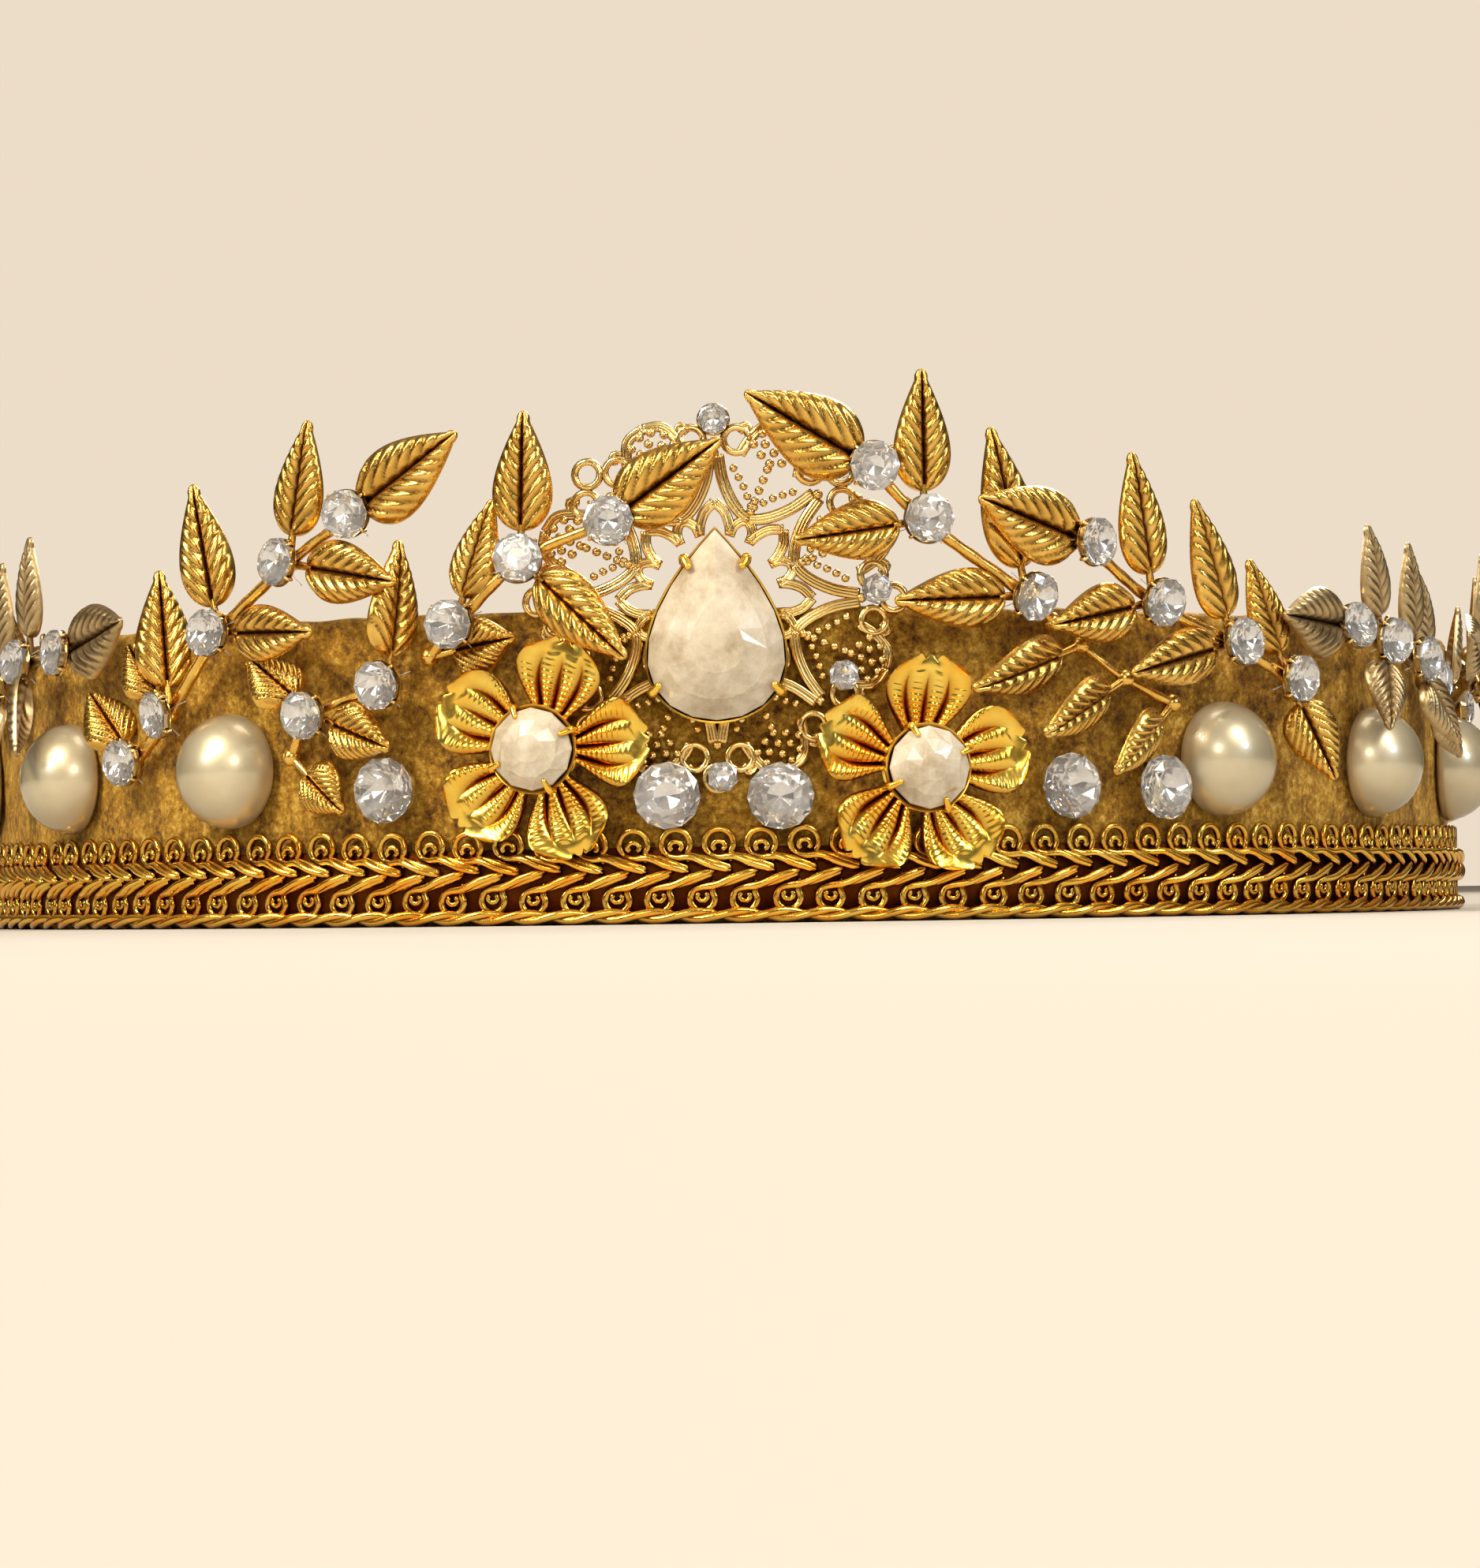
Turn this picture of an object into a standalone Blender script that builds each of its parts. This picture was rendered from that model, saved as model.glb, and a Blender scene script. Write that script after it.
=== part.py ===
"""A crown: a wired and cloth-covered band with gimp braid, a pierced brass plate at the front,
set stones, sheet-metal flowers, half-round pearls and stamped leaf branches.

Metres, +Z up. The origin is at the middle of the ring, on the surface that the band stands on.
The front of the crown faces -Y. A place on the band is an angle in degrees, from the front
towards +X, a height, and an offset out from the lining's inner face.
"""
import math

import bmesh
import bpy
from mathutils import Matrix, Vector

MM = 0.001
GAP = 0.3 * MM

# Band: an oval that fits a head 560 mm round.
INNER_HALF_WIDTH = 80 * MM
INNER_HALF_DEPTH = 98 * MM
RING_CENTRE_Y = 2.3 * MM
BAND_HEIGHT = 30 * MM
LINING_THICKNESS = 0.6 * MM
CORE_THICKNESS = 1.2 * MM
COVER_THICKNESS = 0.8 * MM
COVER_TURN_IN = 0.6 * MM
EDGE_WIRE_RADIUS = 0.6 * MM
RING_STEPS = 60

CORE_INNER = LINING_THICKNESS + GAP
COVER_WALL_INNER = CORE_INNER + CORE_THICKNESS + GAP
COVER_OUTER = COVER_WALL_INNER + COVER_THICKNESS
ON_BAND = COVER_OUTER + GAP

# Gimp braid and the cord under it.
CORD_RADIUS = 0.9 * MM
BRAID_TOP = 9.2 * MM
BRAID_STEP_HEIGHT = 6.6 * MM
BRAID_THICKNESS = 1.8 * MM
BRAID_LOOP_THICKNESS = 0.8 * MM

# Front plate and the pear stone.
PLATE_HEIGHT = 30.8 * MM
PLATE_THICKNESS = 0.5 * MM
PLATE_SECTORS = 8
PLATE_CENTRE_HOLE = 3 * MM
PLATE_BEND_STEP = 7.5 * MM
ON_PLATE = ON_BAND + PLATE_THICKNESS + GAP
PEAR_HEIGHT = 28.2 * MM
PEAR_HALF_LENGTH = 9 * MM
PEAR_WIDTH_FACTOR = 8.44 * MM
PEAR_STEPS = 18
PEAR_TRAY_HEIGHT = 1.0 * MM
PEAR_TRAY_LIP = 0.9 * MM
# The stone's layers: height above its girdle, and the share of the outline that is left there.
PEAR_STONE_LAYERS = ((0, 1.0), (0.8 * MM, 1.0), (2.6 * MM, 0.78), (3.9 * MM, 0.45))
PEAR_CLAW_TURNS = (50, 132, 228, 310)
PEAR_CLAW_OUT = 0.85 * MM
PEAR_CLAW_FOOT = 0.4 * MM
PEAR_CLAW_RISE = 3.3 * MM
PEAR_CLAW_TURN_IN = 1.5 * MM
PEAR_CLAW_TIP_RISE = 0.7 * MM
PEAR_CLAW_RADII = (0.5 * MM, 0.45 * MM, 0.3 * MM)

# Flowers and their round stones.
FLOWER_RADIUS = 10 * MM
FLOWER_PETALS = 5
FLOWER_STEPS = FLOWER_PETALS * 10
# Where the gaps between the petals end, as a share of the flower's radius.
FLOWER_GAP = 0.42
FLOWER_SHEET = 0.5 * MM
FLOWER_CUP_START = 3.0 * MM
FLOWER_CUP_RISE = 2.2 * MM
FLOWER_STONE_RADIUS = 3.95 * MM
FLOWER_SEAT_RADIUS = 4.6 * MM
FLOWER_SEAT_HEIGHT = 2.6 * MM
FLOWER_FIRST_CLAW = 24
FLOWER_CLAW_OUT = 0.15 * MM
FLOWER_CLAW_FOOT = 1.9 * MM
FLOWER_CLAW_RISE = 2.2 * MM
FLOWER_CLAW_TURN_IN = 1.1 * MM
FLOWER_CLAW_TIP_RISE = 0.6 * MM
FLOWER_CLAW_RADII = (0.42 * MM, 0.4 * MM, 0.28 * MM)

RHINESTONE_RADIUS = 3.2 * MM
SMALL_STONE_RADIUS = 1.45 * MM
JOINT_STONE_RADIUS = 2.4 * MM
PEARL_RADIUS = 5.75 * MM
PEARL_RISE = 5.7 * MM
PEARL_HEIGHT = 15.5 * MM
PEARL_FOOT = 0.93 * PEARL_RADIUS
# The pearl's widest ring is at this share of its height; above it, rings at these degrees round it off.
PEARL_WIDEST = 0.2
PEARL_RINGS = (32, 62)

# Leaf branches.
STEM_RADIUS = 0.75 * MM
TWIG_RADIUS = 0.45 * MM
TWIG_LENGTH = 2.7 * MM
BROAD_TWIG_LENGTH = 1.2 * MM
LEAF_WIDTH = 5.3 * MM
BROAD_LEAF_WIDTH = 7.4 * MM
LEAF_FRONT_RISE = 0.7 * MM
LEAF_BACK_RISE = 0.4 * MM
# Shares of a leaf's length where its outline is drawn; a power below 1 puts its widest part near the base.
LEAF_STATIONS = (0.14, 0.36, 0.68)
LEAF_POWER = 0.7

# Colours, linear RGB.
OLD_GOLD_CLOTH = (0.30, 0.17, 0.05)
BRIGHT_GOLD = (0.83, 0.50, 0.10)
ANTIQUE_GOLD = (0.50, 0.33, 0.13)
PALE_BRASS = (0.68, 0.50, 0.24)
IVORY = (0.80, 0.74, 0.64)
PEARL_CREAM = (0.76, 0.66, 0.48)
CLEAR_GLASS = (0.88, 0.89, 0.90)
BUCKRAM = (0.62, 0.58, 0.48)
STEEL = (0.55, 0.55, 0.55)

# Each branch: (angle, height in mm, offset in mm) of its joints from the tip to the root, then its
# leaves as (joint, direction clockwise from up, length in mm, tilt outwards in degrees).
FRONT_BRANCHES = {
    "leaf_branch_front_left": (
        [(-6.5, 38.1, 6.4), (-12.1, 34.7, 6.4), (-16.7, 28.8, 5.4), (-18.8, 25.9, 4.4)],
        [(0, 56, 12.1, 6), (1, 3, 11.4, 4), (1, 131, 12.6, 14), (2, 19, 9.8, 0), (3, 80, 6.5, 2)],
    ),
    "leaf_branch_left_upper": (
        [(-23.4, 39.8, 6.2), (-28.3, 35.4, 6.2), (-34.1, 29.0, 6.2), (-39.4, 21.4, 5.2),
         (-43.8, 16.8, 4.4)],
        [(0, 60, 13.0, 4), (1, 13, 11.3, 2), (1, 100, 11.8, 6), (2, -11, 12.4, 2), (2, 92, 11.5, 6),
         (3, -11, 12.0, -4), (3, -39, 6.5, 4), (4, -44, 7.5, 4)],
    ),
    "leaf_branch_left_lower": (
        [(-21.5, 23.3, 5.6), (-27.0, 20.7, 5.4), (-29.2, 16.7, 4.4)],
        [(0, 8, 11.2, 0), (1, -53, 6.8, 2), (1, 110, 7.5, 4), (2, 129, 6.0, 4)],
    ),
    "leaf_branch_left_side": (
        [(-49.3, 28.2, 6.4), (-55.1, 27.7, 6.4), (-60.4, 26.2, 6.0), (-65.8, 23.7, 4.4)],
        [(0, 80, 13.2, 4), (1, 13, 10.5, 4), (1, 141, 11.0, 22), (2, 14, 10.0, 4), (2, 168, 8.0, 16),
         (3, -14, 9.5, 6)],
    ),
    "leaf_branch_front_right": (
        [(9.7, 43.1, 6.6), (13.1, 38.0, 6.4), (20.2, 31.0, 5.4), (22.3, 28.6, 4.4)],
        [(0, -62, 13.1, 6), (1, -2, 11.6, 4), (1, -99, 10.9, 6), (2, -93, 12.6, 8), (2, -12, 13.8, -2)],
    ),
    "leaf_branch_right_upper": (
        [(24.0, 36.1, 6.6), (29.1, 30.6, 6.4), (35.6, 26.8, 6.4), (40.8, 23.5, 6.4), (42.8, 22.2, 4.6)],
        [(0, -74, 12.8, 8), (1, -12, 12.0, 2), (1, -101, 10.8, 4), (2, -23, 12.4, 2),
         (2, -102, 13.2, 4), (3, -22, 10.0, -6), (3, 158, 8.5, 14)],
    ),
    "leaf_branch_right_lower": (
        [(24.4, 26.4, 4.4), (27.6, 23.2, 4.8), (31.6, 20.9, 4.4)],
        [(0, -109, 11.4, 8), (1, -116, 10.0, 8), (2, -127, 8.9, 8)],
    ),
    "leaf_branch_right_side": (
        [(47.1, 29.0, 6.4), (51.9, 27.9, 6.4), (57.2, 26.3, 6.2), (62.5, 24.3, 4.6)],
        [(0, -87, 12.2, 4), (1, -24, 10.0, 4), (1, -154, 8.0, 16), (2, -20, 10.0, 4), (2, 149, 8.0, 16),
         (3, -22, 9.5, 4), (3, 142, 7.5, 12)],
    ),
}
# A branch's first leaf is a broad one, except on these.
NARROW_TIPPED = ("leaf_branch_left_lower", "leaf_branch_right_lower")

# The branches round the sides and back share one form and get lower towards the back.
BACK_BRANCH_STARTS = (73, 100, 127)
BACK_BRANCH_HEIGHTS = (28.0, 26.5, 25.0)
BACK_JOINT_STEPS = (0, 5.0, 10.0, 15.0)
BACK_JOINT_DROPS = (0, 0.8, 2.4, 4.8)
BACK_JOINT_OFFSETS = (6.4, 6.4, 6.0, 4.4)
BACK_LEAVES = [(0, -84, 12.5, 4), (1, -18, 10.0, 4), (1, -152, 8.0, 16), (2, -14, 9.5, 4),
               (2, 152, 8.0, 30), (3, -10, 9.0, 4)]

PEARL_ANGLES = {
    "right": (36.2, 53.5, 72, 91, 112, 134, 157),
    "left": (-34.6, -52.3, -71, -91, -112, -134, -157),
}
# Angle on the band, height in mm, and where the flower's first petal points, in degrees from X.
FLOWER_PLACES = {"left": (-11.2, 16.7, 5), "right": (12.8, 14.5, 14)}
RHINESTONE_PLACES = {
    "front_left": (-3.2, 12.2),
    "front_right": (3.9, 11.9),
    "side_left": (-21.8, 13.2),
    "side_right": (23.2, 12.7),
    "side_right_outer": (30.4, 12.6),
}
SMALL_STONE_PLACES = {
    "top": (0, 47.8),
    "right": (10.3, 31.6),
    "lower_right": (8.1, 23.4),
    "bottom": (0.3, 13.9),
}
JOINT_STONES = {
    "front_left_1": ("leaf_branch_front_left", 0),
    "front_left_2": ("leaf_branch_front_left", 1),
    "front_left_3": ("leaf_branch_front_left", 2),
    "front_right_1": ("leaf_branch_front_right", 0),
    "front_right_2": ("leaf_branch_front_right", 1),
    "front_right_3": ("leaf_branch_front_right", 2),
}


def clear_scene():
    for old in list(bpy.data.objects):
        bpy.data.objects.remove(old, do_unlink=True)


def make_material(name, colour, metallic, roughness):
    material = bpy.data.materials.new(name)
    material.use_nodes = True
    shader = material.node_tree.nodes["Principled BSDF"]
    shader.inputs["Base Color"].default_value = (*colour, 1)
    shader.inputs["Metallic"].default_value = metallic
    shader.inputs["Roughness"].default_value = roughness
    return material


def make_object(name, bm, colour, metallic=0.0, roughness=0.5, smooth=False):
    """Turn a bmesh into a named object with a material of its own."""
    bmesh.ops.recalc_face_normals(bm, faces=bm.faces)
    mesh = bpy.data.meshes.new(name)
    bm.to_mesh(mesh)
    bm.free()
    mesh.materials.append(make_material(name, colour, metallic, roughness))
    if smooth:
        mesh.shade_smooth()
        mesh.set_sharp_from_angle(angle=math.radians(40))
    made = bpy.data.objects.new(name, mesh)
    bpy.context.scene.collection.objects.link(made)
    return made


def band_frame(angle, height, offset):
    """A frame on the band: X along it, Y up, Z straight out."""
    turn = math.radians(angle)
    normal = Vector((math.sin(turn) / INNER_HALF_WIDTH, -math.cos(turn) / INNER_HALF_DEPTH, 0)).normalized()
    forward = RING_CENTRE_Y - INNER_HALF_DEPTH * math.cos(turn)
    foot = Vector((INNER_HALF_WIDTH * math.sin(turn), forward, height))
    along = Vector((-normal.y, normal.x, 0))
    up = Vector((0, 0, 1))
    frame = Matrix((along, up, normal)).transposed().to_4x4()
    frame.translation = foot + offset * normal
    return frame


def closed_rings(rings, bm, close_path):
    """Skin a row of equal rings of points with quads, and cap the two ends of an open row."""
    loops = [[bm.verts.new(point) for point in ring] for ring in rings]
    count = len(loops[0])
    spans = len(loops) if close_path else len(loops) - 1
    for i in range(spans):
        first = loops[i]
        second = loops[(i + 1) % len(loops)]
        for j in range(count):
            k = (j + 1) % count
            bm.faces.new((first[j], first[k], second[k], second[j]))
    if not close_path:
        bm.faces.new(loops[0])
        bm.faces.new(loops[-1])


def band_ring(name, profile, colour, metallic, roughness):
    """Sweep a closed profile of (offset, height) points all the way round the band."""
    bm = bmesh.new()
    rings = []
    for i in range(RING_STEPS):
        angle = 360 * i / RING_STEPS
        rings.append([band_frame(angle, height, offset).translation for offset, height in profile])
    closed_rings(rings, bm, True)
    return make_object(name, bm, colour, metallic, roughness, smooth=True)


def rectangle(inner, outer, low, high):
    return [(inner, low), (outer, low), (outer, high), (inner, high)]


def circle_profile(offset, height, radius, sides):
    turns = [math.tau * (i + 0.5) / sides for i in range(sides)]
    return [(offset + radius * math.cos(t), height + radius * math.sin(t)) for t in turns]


def make_band():
    wire_offset = CORE_INNER + CORE_THICKNESS / 2
    wire_low = COVER_TURN_IN + GAP + EDGE_WIRE_RADIUS
    wire_high = BAND_HEIGHT - wire_low
    core_low = wire_low + EDGE_WIRE_RADIUS + GAP
    lining_low = COVER_TURN_IN + GAP
    core = rectangle(CORE_INNER, CORE_INNER + CORE_THICKNESS, core_low, BAND_HEIGHT - core_low)
    band_ring("band_core", core, BUCKRAM, 0, 0.9)
    for name, height in (("top_edge_wire", wire_high), ("bottom_edge_wire", wire_low)):
        band_ring(name, circle_profile(wire_offset, height, EDGE_WIRE_RADIUS, 4), STEEL, 1, 0.4)
    cover = [
        (0, 0), (COVER_OUTER, 0), (COVER_OUTER, BAND_HEIGHT), (0, BAND_HEIGHT),
        (0, BAND_HEIGHT - COVER_TURN_IN), (COVER_WALL_INNER, BAND_HEIGHT - COVER_TURN_IN),
        (COVER_WALL_INNER, COVER_TURN_IN), (0, COVER_TURN_IN),
    ]
    band_ring("band_cover", cover, OLD_GOLD_CLOTH, 0.2, 0.75)
    lining = rectangle(0, LINING_THICKNESS, lining_low, BAND_HEIGHT - lining_low)
    band_ring("band_lining", lining, BUCKRAM, 0, 0.9)


def make_braid():
    """The gimp braid: a thick woven part with a thinner row of loops above it, and the cord below."""
    cord_height = GAP + CORD_RADIUS
    low = cord_height + CORD_RADIUS + GAP
    braid = [
        (ON_BAND, low), (ON_BAND + BRAID_THICKNESS, low), (ON_BAND + BRAID_THICKNESS, BRAID_STEP_HEIGHT),
        (ON_BAND + BRAID_LOOP_THICKNESS, BRAID_STEP_HEIGHT), (ON_BAND + BRAID_LOOP_THICKNESS, BRAID_TOP),
        (ON_BAND, BRAID_TOP),
    ]
    band_ring("braid_trim", braid, BRIGHT_GOLD, 0.9, 0.35)
    band_ring("edge_cord", circle_profile(ON_BAND + CORD_RADIUS, cord_height, CORD_RADIUS, 6),
              BRIGHT_GOLD, 0.9, 0.35)


def lathe(bm, profile, steps):
    """Turn (radius, height) points round Z; the first and last points lie on the axis."""
    bottom = bm.verts.new((0, 0, profile[0][1]))
    top = bm.verts.new((0, 0, profile[-1][1]))
    loops = []
    for radius, height in profile[1:-1]:
        turns = [math.tau * i / steps for i in range(steps)]
        loops.append([bm.verts.new((radius * math.cos(t), radius * math.sin(t), height)) for t in turns])
    for i in range(steps):
        j = (i + 1) % steps
        bm.faces.new((bottom, loops[0][j], loops[0][i]))
        bm.faces.new((top, loops[-1][i], loops[-1][j]))
        for low, high in zip(loops, loops[1:]):
            bm.faces.new((low[i], low[j], high[j], high[i]))


def turned_piece(name, profile, steps, frame, colour, metallic, roughness, smooth=False):
    bm = bmesh.new()
    lathe(bm, profile, steps)
    made = make_object(name, bm, colour, metallic, roughness, smooth)
    made.matrix_world = frame
    return made


def tube(points, radii, sides, flat=1.0):
    """A closed tube through points; flat below 1 makes it thinner along Z."""
    bm = bmesh.new()
    rings = []
    for i, point in enumerate(points):
        ahead = points[min(i + 1, len(points) - 1)] - points[max(i - 1, 0)]
        ahead.normalize()
        reference = Vector((0, 0, 1)) if abs(ahead.z) < 0.8 else Vector((1, 0, 0))
        side = ahead.cross(reference).normalized()
        rise = side.cross(ahead)
        ring = []
        for k in range(sides):
            turn = math.tau * (k + 0.5) / sides
            ring.append(point + radii[i] * (math.cos(turn) * side + flat * math.sin(turn) * rise))
        rings.append(ring)
    closed_rings(rings, bm, False)
    return bm


def union_into(target, tools):
    """Join closed pieces to a target with Boolean unions and remove them."""
    for tool in tools:
        modifier = target.modifiers.new("join", "BOOLEAN")
        modifier.operation = "UNION"
        modifier.solver = "EXACT"
        modifier.object = tool
        graph = bpy.context.evaluated_depsgraph_get()
        joined = bpy.data.meshes.new_from_object(target.evaluated_get(graph))
        target.modifiers.remove(modifier)
        old = target.data
        target.data = joined
        joined.name = old.name
        bpy.data.meshes.remove(old)
        bpy.data.objects.remove(tool, do_unlink=True)


def tool_object(bm, like):
    """A piece that is about to be joined to another one, with that one's material."""
    bmesh.ops.recalc_face_normals(bm, faces=bm.faces)
    mesh = bpy.data.meshes.new("tool")
    bm.to_mesh(mesh)
    bm.free()
    mesh.materials.append(like.data.materials[0])
    made = bpy.data.objects.new("tool", mesh)
    bpy.context.scene.collection.objects.link(made)
    return made


def plate_outline():
    """The plate's scalloped edge: a trefoil on each of eight axes and a round lobe between."""
    steps = PLATE_SECTORS * 6
    points = []
    for i in range(steps):
        turn = math.tau * i / steps
        radius = (17.2 + 0.9 * math.cos(8 * turn) + 0.6 * math.cos(16 * turn)) * MM
        points.append((radius * math.sin(turn), radius * math.cos(turn)))
    return points


def plate_holes():
    """Pierced openings of one sector, as (radius in mm, degrees from the trefoil's axis) loops."""
    star = [(7.6, 0), (6.4, 9), (6.0, 0), (6.4, -9)]
    beside_bar = [(9.8, 3.5), (13.2, 2.2), (13.3, 9), (11.6, 12)]
    in_lobe = [(10.2, 20.6), (13.6, 14.5), (14.2, 20.9)]
    mirror_bar = [(radius, -degrees) for radius, degrees in reversed(beside_bar)]
    mirror_lobe = [(radius, 45 - degrees) for radius, degrees in reversed(in_lobe)]
    loops = [star, beside_bar, mirror_bar, in_lobe, mirror_lobe]
    ring_hole = 0.85
    for ring_radius, ring_degrees in ((15.2, 8.2), (15.2, -8.2), (17.0, 0)):
        loop = []
        for k in range(6):
            turn = math.tau * k / 6
            radius = ring_radius + ring_hole * math.cos(turn)
            loop.append((radius, ring_degrees + math.degrees(ring_hole * math.sin(turn) / radius)))
        loops.append(loop)
    return loops


def make_plate():
    """Cut the plate flat, as a filled curve with holes, then bend it to the band."""
    curve = bpy.data.curves.new("filigree_plate", "CURVE")
    curve.dimensions = "2D"
    curve.fill_mode = "BOTH"
    curve.extrude = PLATE_THICKNESS / 2
    centre_turns = [math.tau * i / PLATE_SECTORS for i in range(PLATE_SECTORS)]
    centre_hole = [(PLATE_CENTRE_HOLE * math.sin(t), PLATE_CENTRE_HOLE * math.cos(t)) for t in centre_turns]
    loops = [plate_outline(), centre_hole]
    for sector in range(PLATE_SECTORS):
        for hole in plate_holes():
            loop = []
            for radius, degrees in hole:
                turn = math.radians(degrees + 360 * sector / PLATE_SECTORS)
                loop.append((radius * MM * math.sin(turn), radius * MM * math.cos(turn)))
            loops.append(loop)
    for loop in loops:
        spline = curve.splines.new("POLY")
        spline.points.add(len(loop) - 1)
        spline.use_cyclic_u = True
        for point, (x, y) in zip(spline.points, loop):
            point.co = (x, y, 0, 1)
    flat = bpy.data.objects.new("flat_plate", curve)
    bpy.context.scene.collection.objects.link(flat)
    graph = bpy.context.evaluated_depsgraph_get()
    mesh = bpy.data.meshes.new_from_object(flat.evaluated_get(graph))
    bpy.data.objects.remove(flat, do_unlink=True)
    bm = bmesh.new()
    bm.from_mesh(mesh)
    bpy.data.meshes.remove(mesh)
    bmesh.ops.remove_doubles(bm, verts=bm.verts, dist=0.01 * MM)
    for cut in range(-2, 3):
        everything = bm.verts[:] + bm.edges[:] + bm.faces[:]
        place = (cut * PLATE_BEND_STEP, 0, 0)
        bmesh.ops.bisect_plane(bm, geom=everything, plane_co=place, plane_no=(1, 0, 0))
    bmesh.ops.triangulate(bm, faces=bm.faces)
    offset = ON_BAND + PLATE_THICKNESS / 2
    for vert in bm.verts:
        angle = math.degrees(vert.co.x / (INNER_HALF_WIDTH + offset))
        vert.co = band_frame(angle, PLATE_HEIGHT + vert.co.y, offset + vert.co.z).translation
    make_object("filigree_plate", bm, PALE_BRASS, 1, 0.35)


def pear_point(turn, grown):
    """A point on the pear's outline, with its point up, grown outwards by some metres."""
    x = PEAR_WIDTH_FACTOR * math.sin(turn) * abs(math.sin(turn / 2))
    y = PEAR_HALF_LENGTH * math.cos(turn)
    away = Vector((x, y, 0)).normalized()
    return Vector((x, y, 0)) + away * grown


def pear_layer(grown, height, shrink=1.0):
    points = [pear_point(math.tau * i / PEAR_STEPS, grown) for i in range(PEAR_STEPS)]
    return [Vector((p.x * shrink, p.y * shrink, height)) for p in points]


def make_pear():
    """The pear setting is a tray with four claws; the stone is faceted with a flat table."""
    frame = band_frame(0, PEAR_HEIGHT, ON_PLATE)
    bm = bmesh.new()
    closed_rings([pear_layer(PEAR_TRAY_LIP, 0), pear_layer(PEAR_TRAY_LIP, PEAR_TRAY_HEIGHT)], bm, False)
    setting = make_object("pear_setting", bm, PALE_BRASS, 1, 0.3)
    claws = []
    for degrees in PEAR_CLAW_TURNS:
        foot = pear_point(math.radians(degrees), PEAR_CLAW_OUT) + Vector((0, 0, PEAR_CLAW_FOOT))
        inward = Vector((-foot.x, -foot.y, 0)).normalized()
        top = foot + Vector((0, 0, PEAR_CLAW_RISE))
        tip = top + inward * PEAR_CLAW_TURN_IN + Vector((0, 0, PEAR_CLAW_TIP_RISE))
        claws.append(tool_object(tube([foot, top, tip], PEAR_CLAW_RADII, 5), setting))
    union_into(setting, claws)
    setting.matrix_world = frame

    girdle = PEAR_TRAY_HEIGHT + GAP
    bm = bmesh.new()
    closed_rings([pear_layer(0, girdle + rise, left) for rise, left in PEAR_STONE_LAYERS], bm, False)
    stone = make_object("pear_stone", bm, IVORY, 0, 0.15)
    stone.matrix_world = frame


def petal_reach(turn):
    """Outline radius of the flower at a turn from its first petal: five fans with narrow gaps."""
    pitch = math.tau / FLOWER_PETALS
    away = abs((turn + pitch / 2) % pitch - pitch / 2)
    share = away / (pitch / 2)
    return FLOWER_RADIUS * (FLOWER_GAP + (1 - FLOWER_GAP) * max(0.0, 1 - share ** 6) ** 0.6)


def make_flower(side, angle, height, first_petal):
    """A five-petalled sheet flower, its stone's claw cup and the stone."""
    steps = FLOWER_STEPS
    bm = bmesh.new()
    layers = []
    for k in range(3):
        front = []
        back = []
        for i in range(steps):
            turn = math.radians(first_petal) + math.tau * (i + 0.5) / steps
            reach = petal_reach(turn - math.radians(first_petal))
            radius = FLOWER_CUP_START + (reach - FLOWER_CUP_START) * k / 2
            share = (radius - FLOWER_CUP_START) / (FLOWER_RADIUS - FLOWER_CUP_START)
            rise = FLOWER_CUP_RISE * share ** 1.4
            x = radius * math.cos(turn)
            y = radius * math.sin(turn)
            front.append(bm.verts.new((x, y, FLOWER_SHEET + rise)))
            back.append(bm.verts.new((x, y, rise)))
        layers.append((front, back))
    for face, height_on_axis in ((0, FLOWER_SHEET), (1, 0)):
        centre = bm.verts.new((0, 0, height_on_axis))
        for i in range(steps):
            j = (i + 1) % steps
            bm.faces.new((centre, layers[0][face][i], layers[0][face][j]))
            for low, high in zip(layers, layers[1:]):
                bm.faces.new((low[face][i], low[face][j], high[face][j], high[face][i]))
    rim_front, rim_back = layers[-1]
    for i in range(steps):
        j = (i + 1) % steps
        bm.faces.new((rim_front[i], rim_front[j], rim_back[j], rim_back[i]))
    flower = make_object(f"flower_{side}", bm, BRIGHT_GOLD, 1, 0.18)
    flower.matrix_world = band_frame(angle, height, ON_PLATE)

    frame = band_frame(angle, height, ON_PLATE + FLOWER_SHEET + GAP)
    cup_profile = [
        (0, 0), (2.4 * MM, 0), (2.8 * MM, 1.4 * MM), (FLOWER_SEAT_RADIUS, 1.6 * MM),
        (FLOWER_SEAT_RADIUS, FLOWER_SEAT_HEIGHT), (0, FLOWER_SEAT_HEIGHT),
    ]
    cup = turned_piece(f"flower_setting_{side}", cup_profile, 16, frame, PALE_BRASS, 1, 0.25)
    claws = []
    for k in range(4):
        turn = math.radians(FLOWER_FIRST_CLAW + 90 * k)
        outward = Vector((math.cos(turn), math.sin(turn), 0))
        foot = outward * (FLOWER_SEAT_RADIUS + FLOWER_CLAW_OUT) + Vector((0, 0, FLOWER_CLAW_FOOT))
        top = foot + Vector((0, 0, FLOWER_CLAW_RISE))
        tip = top - outward * FLOWER_CLAW_TURN_IN + Vector((0, 0, FLOWER_CLAW_TIP_RISE))
        claws.append(tool_object(tube([foot, top, tip], FLOWER_CLAW_RADII, 5), cup))
    cup.matrix_world = Matrix()
    union_into(cup, claws)
    cup.matrix_world = frame

    stone_low = FLOWER_SEAT_HEIGHT + GAP
    stone_profile = [
        (0, stone_low), (3.6 * MM, stone_low), (FLOWER_STONE_RADIUS, stone_low + 0.5 * MM),
        (2.2 * MM, stone_low + 2.0 * MM), (0, stone_low + 2.0 * MM),
    ]
    turned_piece(f"flower_stone_{side}", stone_profile, 12, frame, IVORY, 0, 0.15)


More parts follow.
